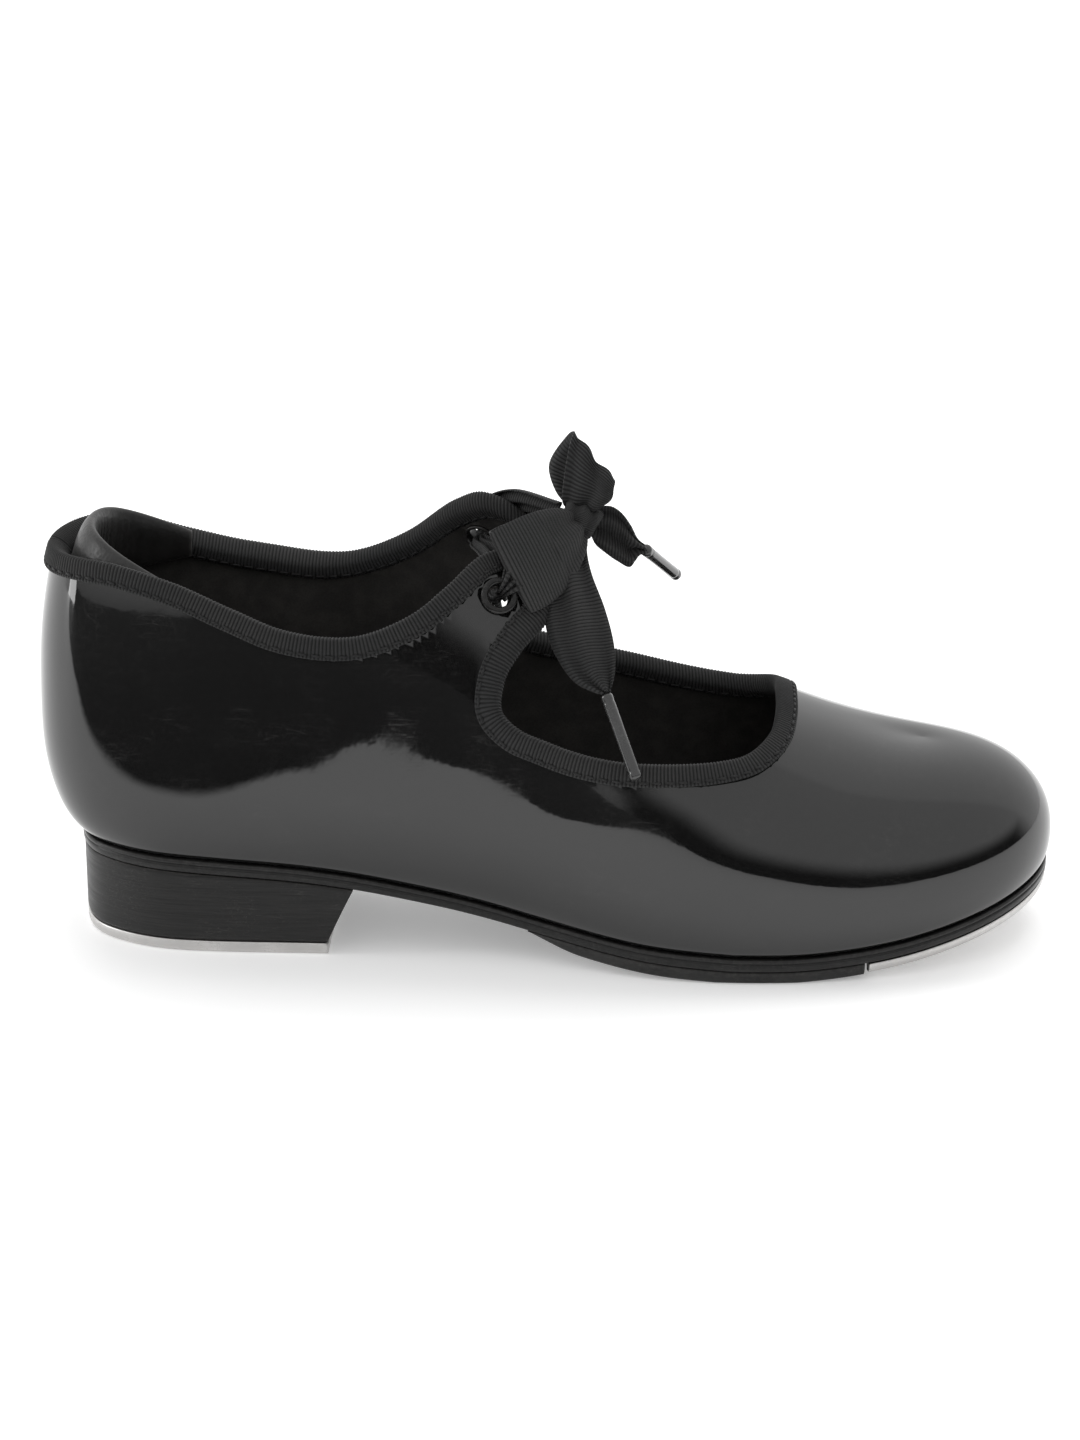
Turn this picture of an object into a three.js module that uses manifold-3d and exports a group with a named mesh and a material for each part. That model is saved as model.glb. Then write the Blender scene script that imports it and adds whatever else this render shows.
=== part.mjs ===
// A lady's tap shoe for the right foot: patent upper on a last, stacked sole, taps and a tied ribbon.
// Millimetres. +X runs from heel to toe, +Y to the inner side of the foot, +Z up from the floor.
import * as THREE from "three";
import { ParametricGeometry } from "three/addons/geometries/ParametricGeometry.js";
import { mergeVertices } from "three/addons/utils/BufferGeometryUtils.js";
import Module from "manifold-3d";

const wasm = await Module();
wasm.setup();

// Overall sizes.
const shoeLength = 250; // back of the heel to the tip of the toe
const ballWidth = 84; // widest place of the last
const heelPitch = 18.8; // how far the heel seat stands above the ball
const toeSpring = 11; // how far the toe tip rises above the ball
const instepScale = 1; // height of the last over its pattern height

// Thicknesses of the layers, and the air between two pieces that touch.
const clearance = 0.3;
const coverGap = 0.45; // between the curved layers of the upper
const upperThickness = 1.2;
const liningThickness = 0.9;
const stiffenerThickness = 1.2;
const insoleThickness = 2;
const sockThickness = 2.4;
const outsoleThickness = 3.3;
const padThickness = 3;
const heelTapThickness = 3;
const toeTapThickness = 2.6;
const shankThickness = 1.5;

// Other sizes that can be set by themselves.
const lastingMargin = 12; // width of upper and lining folded under the insole board
const soleEdge = 1.2; // how far the outsole stands out past the feather line
const heelEdge = 0.9; // the same for the heel block
const heelBlockLength = 62; // along the tap, from the back to the breast
const breastSlope = 6.5; // how far the breast leans forward over its height
const padStart = 121; // stations of the rubber pad under the ball
const padEnd = 204;
const toeTapStart = 205;
const shankWidth = 12;
const shankStart = 42;
const shankEnd = 142;
const fillerEnd = 228;
const bindingWidth = 4.2; // how far the binding reaches down from the edge, on both faces
const bindingInnerWidth = 2.2; // the leg inside the shoe is narrower
const bindingInnerGap = 1.2;
const bindingThickness = 0.9;
const eyeletHole = 5;
const eyeletFlange = 9;
const eyeletWall = 0.5;
const screwHead = 6;
const screwHeadHeight = 1.1;
const screwShank = 2.6;
const nailDiameter = 1.8;
const nailHead = 4;
const nailLength = 20;
const agletLength = 22;
const agletDiameter = 3;

// Every station is drawn for a last 250 mm long and 84 mm wide, and is graded to the size above.
const patternLength = 250;
const patternWidth = 84;
const grade = shoeLength / patternLength;
const widthGrade = ballWidth / patternWidth;
// The margins, and the shank between them, are graded with the last.
const foldWidth = lastingMargin * widthGrade;

// A smooth curve through [station, value] points: cubic pieces with averaged slopes.
function through(points) {
  const slope = (i) => {
    const a = points[Math.max(i - 1, 0)];
    const b = points[Math.min(i + 1, points.length - 1)];
    return (b[1] - a[1]) / (b[0] - a[0]);
  };
  return (place) => {
    const station = THREE.MathUtils.clamp(place, points[0][0], points.at(-1)[0]);
    let i = 0;
    while (i < points.length - 2 && station > points[i + 1][0]) i += 1;
    const span = points[i + 1][0] - points[i][0];
    const t = (station - points[i][0]) / span;
    const rise = points[i + 1][1] - points[i][1];
    const start = slope(i) * span;
    const end = slope(i + 1) * span;
    const bend = (3 * rise - 2 * start - end) * t ** 2;
    return points[i][1] + start * t + bend + (start + end - 2 * rise) * t ** 3;
  };
}

// The last: half-widths to the outer and inner side of the foot, and the line that they stand on.
const lateralHalf = through([
  [0, 30], [35, 31], [70, 31], [110, 33], [150, 41], [180, 43], [210, 42], [250, 39],
]);
const medialHalf = through([
  [0, 30], [35, 30], [70, 29], [110, 28], [150, 34], [180, 39], [210, 40], [250, 38],
]);
const centreLine = through([[0, 0], [150, 0], [180, 0.5], [210, 2.5], [235, 5], [250, 6.5]]);
const lateralTuck = through([[0, 10.5], [15, 7], [35, 4], [110, 5], [150, 3.5], [210, 3], [250, 2]]);
const medialTuck = through([[0, 10.5], [15, 7], [35, 4], [70, 5], [110, 8], [150, 5], [180, 3.5], [250, 2]]);
const girthHeight = through([[0, 27], [20, 27], [60, 25], [110, 20], [150, 14], [180, 11], [250, 7]]);
const instepHeight = through([
  [30, 102.5], [60, 104.5], [100, 98.5], [140, 77.8], [170, 57.8], [190, 48.1], [220, 35],
]);
const instepSide = through([[30, 0], [100, 0], [140, 2], [170, 4], [190, 6], [220, 7]]);
const heelRamp = through([
  [0, 1], [20, 0.98], [45, 0.925], [73, 0.8], [100, 0.55], [125, 0.287], [150, 0.085], [172, 0],
]);
const toeRamp = through([[172, 0], [190, 0.02], [210, 0.19], [230, 0.53], [250, 1]]);
const heelRound = 20; // higher is squarer
const toeRound = 11;
const heelFan = { station: 60, reach: 30 }; // where the ribs of the last start to spread at the back
const toeFan = { station: 190, reach: 28 }; // and at the toe
const girthShare = 0.25; // share of each rib that lies below the widest place
const ribFullness = 2.25; // 2 is an ellipse, more is fuller

// Heights over the floor at a place along X.
const soleRise = (x) => heelPitch * heelRamp(x / grade) + toeSpring * toeRamp(x / grade);
const soleUnder = (x) => padThickness + clearance + soleRise(x);
const soleTop = (x) => soleUnder(x) + outsoleThickness;
const featherHeight = (x) => soleTop(x) + clearance;

const roundAt = (u) => {
  const share = (1 - Math.cos(Math.PI * u)) / 2;
  return Math.sqrt(Math.max(0, (1 - (1 - share) ** heelRound) * (1 - share ** toeRound)));
};
const stationAt = (u) => (patternLength * (1 - Math.cos(Math.PI * u))) / 2;
const uAt = (station) => Math.acos(1 - (2 * station) / patternLength) / Math.PI;

// A point of the last's widest outline; side is -1 for the outer and 1 for the inner side of the foot.
function outline(u, side) {
  const station = stationAt(u);
  const half = side < 0 ? lateralHalf(station) : medialHalf(station);
  return new THREE.Vector2(station * grade, (centreLine(station) + side * half * roundAt(u)) * widthGrade);
}

// The outline's outward direction.
function outlineNormal(u, side) {
  const step = 1e-4;
  if (u < step) return new THREE.Vector2(-1, 0);
  if (u > 1 - step) return new THREE.Vector2(1, 0);
  const along = outline(u + step, side).sub(outline(u - step, side)).normalize();
  return new THREE.Vector2(-along.y * side, along.x * side);
}

// A point on the feather line, where upper meets sole, moved out by extend and set to a height.
function featherPoint(u, side, extend, height) {
  const tuck = side < 0 ? lateralTuck(stationAt(u)) : medialTuck(stationAt(u));
  const point = outline(u, side).addScaledVector(outlineNormal(u, side), extend - tuck * widthGrade);
  return new THREE.Vector3(point.x, point.y, height(point.x));
}

// Where the rib of a station ends on the ridge of the last: the ribs crowd together at both ends.
function ridgeStation(station) {
  if (station < heelFan.station) {
    return heelFan.station - heelFan.reach * (1 - Math.exp((station - heelFan.station) / heelFan.reach));
  }
  if (station > toeFan.station) {
    return toeFan.station + toeFan.reach * (1 - Math.exp((toeFan.station - station) / toeFan.reach));
  }
  return station;
}

// A point of the last. w is 0 at the outer feather line, 1 on the ridge and 2 at the inner feather line.
// inset is how far inside the last it lies, and sole how far it is raised at the feather line.
function lastPoint(u, w, inset, sole = inset) {
  const side = w <= 1 ? -1 : 1;
  const share = w <= 1 ? w : 2 - w;
  const station = stationAt(u);
  const body = outline(u, side).addScaledVector(outlineNormal(u, side), -inset);
  const foot = featherPoint(u, side, -inset, featherHeight);
  const girth = girthHeight(station) * instepScale;
  if (share <= girthShare) {
    const turn = (share / girthShare) * (Math.PI / 2);
    const lift = foot.z + sole * (1 - share / girthShare) + girth * (1 - Math.cos(turn));
    return new THREE.Vector3(
      THREE.MathUtils.lerp(foot.x, body.x, Math.sin(turn)),
      THREE.MathUtils.lerp(foot.y, body.y, Math.sin(turn)),
      lift,
    );
  }
  const turn = ((share - girthShare) / (1 - girthShare)) * (Math.PI / 2);
  const out = Math.max(Math.cos(turn), 0) ** (2 / ribFullness);
  const up = Math.sin(turn) ** (2 / ribFullness);
  const ridge = ridgeStation(station);
  const ridgeX = ridge * grade;
  const ridgeY = instepSide(ridge) * widthGrade;
  const ridgeZ = featherHeight(ridgeX) + instepHeight(ridge) * instepScale - inset;
  const widest = foot.z + girth;
  return new THREE.Vector3(
    ridgeX + (body.x - ridgeX) * out,
    ridgeY + (body.y - ridgeY) * out,
    widest + (ridgeZ - widest) * up,
  );
}

// A closed mesh with merged corners, no collapsed faces, and its faces outward.
function weld(geometry) {
  const bare = geometry.index ? geometry.toNonIndexed() : geometry.clone();
  bare.deleteAttribute("normal");
  bare.deleteAttribute("uv");
  const merged = mergeVertices(bare, 1e-4);
  const place = merged.attributes.position;
  const corners = [];
  let volume = 0;
  for (let i = 0; i < merged.index.count; i += 3) {
    const [a, b, c] = [0, 1, 2].map((k) => merged.index.getX(i + k));
    if (a === b || b === c || c === a) continue;
    corners.push(a, b, c);
    const [p, q, r] = [a, b, c].map((k) => new THREE.Vector3().fromBufferAttribute(place, k));
    volume += p.dot(q.cross(r));
  }
  merged.setIndex(volume < 0 ? corners.reverse() : corners);
  return merged;
}

function toSolid(geometry) {
  const mesh = weld(geometry);
  return new wasm.Manifold(
    new wasm.Mesh({
      numProp: 3,
      vertProperties: mesh.attributes.position.array,
      triVerts: new Uint32Array(mesh.index.array),
    }),
  );
}

function toGeometry(solid) {
  const mesh = solid.getMesh();
  const geometry = new THREE.BufferGeometry();
  geometry.setAttribute("position", new THREE.BufferAttribute(mesh.vertProperties, 3));
  geometry.setIndex(new THREE.BufferAttribute(mesh.triVerts, 1));
  return geometry;
}

const cut = (geometry, cutters) =>
  toGeometry(cutters.reduce((solid, cutter) => solid.subtract(toSolid(cutter)), toSolid(geometry)));

// A closed body through rows of points; place(t, k) gives point k of the row at t. A capped end is closed
// to the middle of its row or, on a thin curved wall, along the line halfway between its two faces.
function loft(rows, perRow, place, capStart = false, capEnd = false, thinWall = false) {
  const sections = [];
  for (let i = 0; i <= rows; i += 1) {
    sections.push(Array.from({ length: perRow }, (_, k) => place(i / rows, k)));
  }
  const middle = (section) => {
    if (thinWall) return section.map((p, k) => p.clone().lerp(section[perRow - 1 - k], 0.5));
    const centre = section.reduce((sum, p) => sum.add(p), new THREE.Vector3()).divideScalar(perRow);
    return section.map(() => centre);
  };
  if (capStart) sections.unshift(middle(sections[0]));
  if (capEnd) sections.push(middle(sections.at(-1)));
  const last = sections.length - 1;
  const surface = (u, v, target) => {
    target.copy(sections[Math.round(u * last)][Math.round(v * perRow) % perRow]);
  };
  return weld(new ParametricGeometry(surface, last, perRow));
}

const columns = 32; // along the shoe
const lowRibs = 4; // from feather line to the widest place
const highRibs = 9; // from there to the ridge
const ribShares = [
  ...Array.from({ length: lowRibs }, (_, i) => (girthShare * i) / lowRibs),
  ...Array.from({ length: highRibs + 1 }, (_, i) => girthShare + ((1 - girthShare) * i) / highRibs),
];
const ribPlaces = [...ribShares, ...ribShares.slice(0, -1).reverse().map((share) => 2 - share)];

// The upper or the lining as a whole last cover, with its lasting margin folded under.
function lastCover(outerInset, thickness, pocket) {
  const innerInset = outerInset + thickness;
  const stops = [
    ...ribPlaces.map((w) => ({ w, inset: outerInset })),
    { side: 1, height: outerInset },
    { side: 1, height: innerInset },
    ...ribPlaces.map((w) => ({ w, inset: innerInset })).reverse(),
    { side: -1, height: innerInset },
    { side: -1, height: outerInset },
  ];
  return loft(columns, stops.length, (t, k) => {
    const stop = stops[k];
    const level = (x) => featherHeight(x) + stop.height;
    if (stop.w === undefined) return featherPoint(t, stop.side, -foldWidth, level);
    return lastPoint(t, stop.w, stop.inset + pocket(stationAt(t), 1 - Math.abs(1 - stop.w)), stop.inset);
  });
}

// The edge of the upper, as [station, percent of the rib from feather line to ridge].
const lateralEdge = [
  [0, 52], [12, 53.2], [21.5, 53], [36.7, 50.6], [51, 47], [62, 44.8], [73.5, 44.9], [83, 47], [94.7, 53.5],
  [103.5, 62.5], [112, 75], [119, 82], [124.5, 82.5], [126.5, 77], [124, 69], [118.5, 59], [114.3, 50],
  [114.2, 44], [118.5, 42.4], [126, 43], [134.3, 44.4], [143.7, 47.2], [152, 51], [161.3, 56.3], [169, 61.8],
  [175.5, 68], [180.8, 78.5], [182.4, 89],
];
const medialEdge = [
  [0, 52], [12, 52], [21.5, 50.4], [33.6, 48], [48.5, 46.2], [67.9, 46.2], [77.6, 48.4], [90.3, 56],
  [102.4, 70.5], [110, 82], [116, 87.5], [121, 87], [122.5, 81], [119.5, 72], [114, 61], [110.5, 53],
  [111.8, 46.8], [118, 45.8], [127, 47.4], [142.1, 51], [160.2, 57.8], [170, 64], [177, 71.5], [181.6, 83],
];
const throatFront = [182.6, 100];
const edgeSamples = 100;

// The edge as evenly spaced places (u, w), from the back round the outer side and the toe to the back.
function edgePlaces() {
  const place = ([station, percent], side) => {
    return new THREE.Vector3(patternLength * uAt(station), side * (100 - percent), 0);
  };
  const points = [
    ...lateralEdge.map((p) => place(p, -1)),
    place(throatFront, 1),
    ...medialEdge.map((p) => place(p, 1)).reverse(),
  ];
  const curve = new THREE.CatmullRomCurve3(points, false, "centripetal");
  const spaced = curve.getSpacedPoints(edgeSamples);
  return spaced.map((p) => ({ u: Math.max(p.x / patternLength, 0), w: 1 + p.y / 100 }));
}
const edge = edgePlaces();

// The hole for the foot, cut from a cover of the last: its wall stands square to the last at the cover,
// and it narrows to a core inside the last and widens outside it.
function openingCutter() {
  const shape = new THREE.Shape(edge.map((p) => new THREE.Vector2(p.u, p.w)));
  const coreShare = 0.3; // how high the core of the cutter lies, as a share of the instep
  const cutter = new THREE.ExtrudeGeometry(shape, { depth: 3, steps: 3, bevelEnabled: false });
  const position = cutter.attributes.position;
  for (let i = 0; i < position.count; i += 1) {
    const [u, w, layer] = [position.getX(i), position.getY(i), Math.round(position.getZ(i))];
    const point = lastPoint(u, w, 0);
    const x = THREE.MathUtils.clamp(point.x, 40 * grade, 170 * grade);
    const height = featherHeight(x) + coreShare * instepScale * instepHeight(x / grade);
    const core = new THREE.Vector3(x, 0, height);
    const layers = [
      core.clone().lerp(point, 0.72),
      lastPoint(u, w, 5, 0),
      lastPoint(u, w, -3, 0),
      core.clone().lerp(point, 2.2),
    ];
    position.setXYZ(i, ...layers[layer].toArray());
  }
  return cutter;
}

// Directions on the last at a place: along it, across it and straight out of it.
function lastFrame(u, w, inset = 0) {
  const step = 1e-3;
  const lowU = Math.max(u - step, 1e-3);
  const alongU = lastPoint(u + step, w, inset).sub(lastPoint(lowU, w, inset)).divideScalar(u + step - lowU);
  const acrossW = lastPoint(u, w + step, inset).sub(lastPoint(u, w - step, inset)).divideScalar(2 * step);
  const out = new THREE.Vector3().crossVectors(alongU, acrossW).normalize();
  return { alongU, acrossW, out };
}

// The change of u and w for one millimetre on the last in a direction.
function lastSteps(place, direction) {
  const { alongU, acrossW } = lastFrame(Math.max(place.u, 0.004), place.w);
  const uu = alongU.dot(alongU);
  const uw = alongU.dot(acrossW);
  const ww = acrossW.dot(acrossW);
  const du = direction.dot(alongU);
  const dw = direction.dot(acrossW);
  const determinant = uu * ww - uw * uw;
  return { stepU: (du * ww - dw * uw) / determinant, stepW: (dw * uu - du * uw) / determinant };
}

const edgeStack = upperThickness + coverGap + liningThickness;

// The folded binding: a U-shaped section swept along the edge of the upper.
function topBinding() {
  const gap = 0.6;
  const inner = edgeStack + bindingInnerGap;
  const section = [
    [bindingWidth, gap],
    [bindingWidth, gap + bindingThickness],
    [-gap - bindingThickness, gap + bindingThickness],
    [-gap - bindingThickness, -inner - bindingThickness],
    [bindingInnerWidth, -inner - bindingThickness],
    [bindingInnerWidth, -inner],
    [-gap, -inner],
    [-gap, gap],
  ];
  const ring = edge.slice(0, -1);
  const places = ring.map((p, i) => {
    const before = ring[(i + ring.length - 1) % ring.length];
    const after = ring[(i + 1) % ring.length];
    const { out } = lastFrame(Math.max(p.u, 0.004), p.w);
    if (p.u < 0.004) out.setY(0).normalize();
    const tangent = lastPoint(after.u, after.w, 0).sub(lastPoint(before.u, before.w, 0)).normalize();
    const away = new THREE.Vector3().crossVectors(tangent, out).normalize();
    return { ...p, ...lastSteps(p, away) };
  });
  const rows = places.length;
  return loft(rows, section.length, (t, k) => {
    const { u, w, stepU, stepW } = places[Math.round(t * rows) % rows];
    const [down, up] = section[k];
    return lastPoint(Math.max(u + down * stepU, 0), w + down * stepW, -up, 0);
  });
}

// A layer of the sole. Each ring of its edge has its own reach past the feather line, height and stations.
function soleLayer(rings) {
  const rows = Math.max(8, Math.round((rings[0].to - rings[0].from) / 8));
  const order = [...rings.map((ring) => [ring, -1]), ...rings.map((ring) => [ring, 1]).reverse()];
  return loft(rows, order.length, (t, k) => {
    const [ring, side] = order[k];
    const u = THREE.MathUtils.lerp(uAt(ring.from), uAt(ring.to), t);
    return featherPoint(u, side, ring.extend, ring.height);
  }, rings[0].from > 0, rings[0].to < patternLength);
}

const whole = { from: 0, to: patternLength };
const above = (height, lift) => (x) => height(x) + lift;
const flat = (height) => () => height;

// Levels that the layers over the outsole share.
const marginTop = edgeStack;
const insoleUnder = marginTop + clearance;
const sockUnder = insoleUnder + insoleThickness + clearance;
const insideWall = -(edgeStack + stiffenerThickness + coverGap + 2 * clearance);

function outsoleShape() {
  return soleLayer([
    { ...whole, extend: soleEdge - 0.6, height: soleUnder },
    { ...whole, extend: soleEdge, height: above(soleUnder, 0.6) },
    { ...whole, extend: soleEdge, height: above(soleTop, -0.4) },
    { ...whole, extend: soleEdge - 0.4, height: soleTop },
  ]);
}

const insoleShape = () =>
  soleLayer([
    { ...whole, extend: insideWall, height: above(featherHeight, insoleUnder) },
    { ...whole, extend: insideWall, height: above(featherHeight, insoleUnder + insoleThickness) },
  ]);

const sockShape = () =>
  soleLayer([
    { ...whole, extend: insideWall, height: above(featherHeight, sockUnder) },
    { ...whole, extend: insideWall, height: above(featherHeight, sockUnder + sockThickness - 0.8) },
    { ...whole, extend: insideWall - 0.8, height: above(featherHeight, sockUnder + sockThickness) },
  ]);

// The cork that fills the hollow inside the lasting margin, ahead of the shank.
function fillerShape() {
  const reach = { from: shankEnd + 2 * clearance, to: fillerEnd, extend: -foldWidth - clearance };
  return soleLayer([
    { ...reach, height: featherHeight },
    { ...reach, height: above(featherHeight, marginTop) },
  ]);
}

// The steel spring that keeps the waist of the shoe stiff.
function shankShape() {
  const half = (shankWidth * widthGrade) / 2;
  const corners = [[-half, 0], [-half, shankThickness], [half, shankThickness], [half, 0]];
  return loft(14, corners.length, (t, k) => {
    const x = THREE.MathUtils.lerp(shankStart, shankEnd, t) * grade;
    return new THREE.Vector3(x, corners[k][0], featherHeight(x) + corners[k][1]);
  }, true, true);
}

const breastBottom = heelBlockLength + 10.5;
const backOfHeel = featherPoint(0, -1, heelEdge, soleUnder).x;

function heelBlockShape() {
  const bottom = heelTapThickness + clearance;
  const low = { from: 0, to: breastBottom, extend: heelEdge };
  const high = { from: 0, to: breastBottom + breastSlope, extend: heelEdge };
  return soleLayer([
    { ...low, height: flat(bottom) },
    { ...high, height: above(soleUnder, -clearance) },
  ]);
}

function heelTapShape() {
  const low = { from: 0, to: breastBottom };
  return soleLayer([
    { ...low, extend: heelEdge - 1.2, height: flat(0) },
    { ...low, extend: heelEdge - 0.3, height: flat(0.35) },
    { ...low, extend: heelEdge, height: flat(1.2) },
    { ...low, extend: heelEdge, height: flat(heelTapThickness) },
  ]);
}

// The rubber under the ball wears flat on the floor, and thins to the waist of the shoe.
function padShape() {
  const taper = through([[padStart, 0.9], [padStart + 14, 0], [padEnd, 0]]);
  const under = (x) => Math.max(0, soleUnder(x) - clearance - padThickness * (1 - taper(x / grade)));
  const side = (x) => Math.min(under(x) + 0.8, soleUnder(x) - clearance - 0.1);
  const reach = { from: padStart, to: padEnd };
  return soleLayer([
    { ...reach, extend: soleEdge - 1.8, height: under },
    { ...reach, extend: soleEdge - 0.6, height: side },
    { ...reach, extend: soleEdge - 0.3, height: above(soleUnder, -clearance) },
  ]);
}

function toeTapShape() {
  const reach = { from: toeTapStart, to: patternLength };
  const top = -clearance;
  return soleLayer([
    { ...reach, extend: soleEdge - 1.8, height: above(soleUnder, top - toeTapThickness) },
    { ...reach, extend: soleEdge - 0.7, height: above(soleUnder, top - toeTapThickness + 0.35) },
    { ...reach, extend: soleEdge - 0.2, height: above(soleUnder, top - toeTapThickness / 2) },
    { ...reach, extend: soleEdge - 0.2, height: above(soleUnder, top) },
  ]);
}

// A turned piece: a closed or axis-to-axis profile of [radius, height] points, set upright at a place.
function turned(profile, segments, place) {
  const geometry = new THREE.LatheGeometry(profile.map(([r, z]) => new THREE.Vector2(r, z)), segments);
  geometry.rotateX(Math.PI / 2);
  geometry.applyMatrix4(place);
  return weld(geometry);
}

const at = (x, y, z) => new THREE.Matrix4().makeTranslation(x, y, z);
const rod = (radius, low, high) => [[0, low], [radius, low], [radius, high], [0, high]];

// A countersunk tap screw, head down, and the clearance that is cut for it.
function screwProfile(length, air = 0) {
  const head = screwHead / 2 + air;
  const shank = screwShank / 2 + air;
  const low = air > 0 ? -2 : 0;
  const neck = screwHeadHeight + 0.3 + air;
  const top = length + air;
  return [[0, low], [head, low], [head, 0.3], [shank, neck], [shank, top], [0, top]];
}

const heelScrewPlaces = [
  [21 * grade, 0],
  [61 * grade, -17 * widthGrade],
  [61 * grade, 17 * widthGrade],
];
const toeScrewPlaces = [
  [236 * grade, 5 * widthGrade],
  [213 * grade, -23 * widthGrade],
  [213 * grade, 28 * widthGrade],
];
const heelScrewLength = 11;
const toeScrewLength = toeTapThickness + clearance + outsoleThickness - 0.8;
const screwSides = 10;

// A screw stands square to the plate that it holds.
function heelScrewMatrix([x, y]) {
  return at(x, y, 0.25);
}
function toeScrewMatrix([x, y]) {
  const rise = Math.atan2(soleUnder(x + 4) - soleUnder(x - 4), 8);
  const under = soleUnder(x) - clearance - toeTapThickness + 0.3;
  return at(x, y, under).multiply(new THREE.Matrix4().makeRotationY(-rise));
}
const screwShape = (matrix, length) => turned(screwProfile(length), screwSides, matrix);
const screwHole = (matrix, length) => turned(screwProfile(length, clearance), screwSides, matrix);
const heelScrewHoles = heelScrewPlaces.map((p) => screwHole(heelScrewMatrix(p), heelScrewLength));
const toeScrewHoles = toeScrewPlaces.map((p) => screwHole(toeScrewMatrix(p), toeScrewLength));

// Nails that hold insole, outsole and heel block together, driven from inside the shoe.
const nailPlaces = [
  [28 * grade, 0],
  [42 * grade, -10 * widthGrade],
  [42 * grade, 10 * widthGrade],
  [66 * grade, -9 * widthGrade],
  [66 * grade, 9 * widthGrade],
];
const nailSides = 8;
function nailMatrix([x, y]) {
  return at(x, y, featherHeight(x) + insoleUnder + insoleThickness - 0.25);
}
function nailProfile(air = 0) {
  const head = nailHead / 2 + air;
  const shank = nailDiameter / 2 + air;
  const tip = -nailLength - air;
  const neck = -0.5 - air;
  const top = 0.2 + 2 * air;
  return [[0, tip], [shank, tip], [shank, neck], [head, neck], [head, top], [0, top]];
}
const nailHoles = nailPlaces.map((p) => turned(nailProfile(clearance), nailSides, nailMatrix(p)));

// A stiffener between upper and lining: around the heel, or over the toe.
// It keeps to the columns and ribs of the covers, so that their facets lie side by side.
function stiffenerShape(column, atHeel, topRib) {
  const inset = upperThickness + coverGap;
  const shares = ribShares.slice(1, topRib + 1);
  const section = [
    ...shares.map((share) => [share, inset]),
    ...shares.map((share) => [share, inset + stiffenerThickness]).reverse(),
  ];
  const start = column / columns;
  const end = atHeel ? 0 : 1;
  const rows = 2 * Math.abs(column - end * columns);
  return loft(rows, section.length, (t, k) => {
    const [share, depth] = section[k];
    const u = THREE.MathUtils.lerp(start, end, 1 - Math.abs(2 * t - 1));
    return lastPoint(u, t < 0.5 ? share : 2 - share, depth, inset);
  }, true, true, true);
}

// The pocket in the lining that a stiffener fills.
const counterColumn = 10;
const puffColumn = 23;
function liningPocket(station, share) {
  const depth = stiffenerThickness + coverGap;
  const counterStation = stationAt(counterColumn / columns);
  const heelReach = THREE.MathUtils.smoothstep(counterStation + 20 - station, 0, 14);
  const heel = heelReach * THREE.MathUtils.smoothstep(0.43 - share, 0, 0.06);
  const puffStation = stationAt(puffColumn / columns);
  const toe = THREE.MathUtils.smoothstep(station, puffStation - 12, puffStation - 1);
  return depth * Math.max(heel, toe);
}

// The padded collar inside the back of the topline, thinning out to both sides.
function collarShape() {
  const reachU = uAt(34);
  const height = (t) => 1 - Math.abs(2 * t - 1) ** 2.2;
  const depth = edgeStack + bindingInnerGap + bindingThickness + clearance;
  return loft(28, 12, (t, k) => {
    const u = reachU * Math.abs(2 * t - 1);
    const side = t < 0.5 ? -1 : 1;
    const turn = (k / 12) * 2 * Math.PI;
    const size = height(t);
    const middle = 0.50 + 0.035 * size;
    const share = middle + Math.sin(turn) * (0.028 + 0.07 * size);
    const inset = depth + (1.1 + 1.7 * size) * (1 + Math.cos(turn) * 0.98);
    return lastPoint(u, side < 0 ? share : 2 - share, inset);
  }, true, true);
}

// The eyelets: a flared ring through upper and lining, square to the last.
const eyeletPlaces = {
  lateral: { u: uAt(114.6), w: 0.673 },
  medial: { u: uAt(107.9), w: 2 - 0.667 },
};
const eyeletSides = 18;
function eyeletMatrix({ u, w }) {
  const { out } = lastFrame(u, w);
  const turn = new THREE.Quaternion().setFromUnitVectors(new THREE.Vector3(0, 0, 1), out);
  return new THREE.Matrix4().compose(lastPoint(u, w, 0), turn, new THREE.Vector3(1, 1, 1));
}
function eyeletShape(place) {
  const bore = eyeletHole / 2;
  const barrel = bore + eyeletWall;
  const flange = eyeletFlange / 2;
  const seat = 0.75;
  const back = -edgeStack - seat;
  const profile = [
    [bore, back - 0.6], [flange - 0.8, back - 0.6], [flange - 0.8, back], [barrel, back],
    [barrel, seat], [flange, seat], [flange, seat + 0.5], [flange - 0.9, seat + 0.95],
    [bore + 0.4, seat + 0.8], [bore, seat + 0.3], [bore, back - 0.6],
  ];
  return turned(profile, eyeletSides, eyeletMatrix(place));
}
function eyeletHoleCutter(place) {
  return turned(rod(eyeletHole / 2 + eyeletWall + clearance, -8, 6), eyeletSides, eyeletMatrix(place));
}

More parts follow.
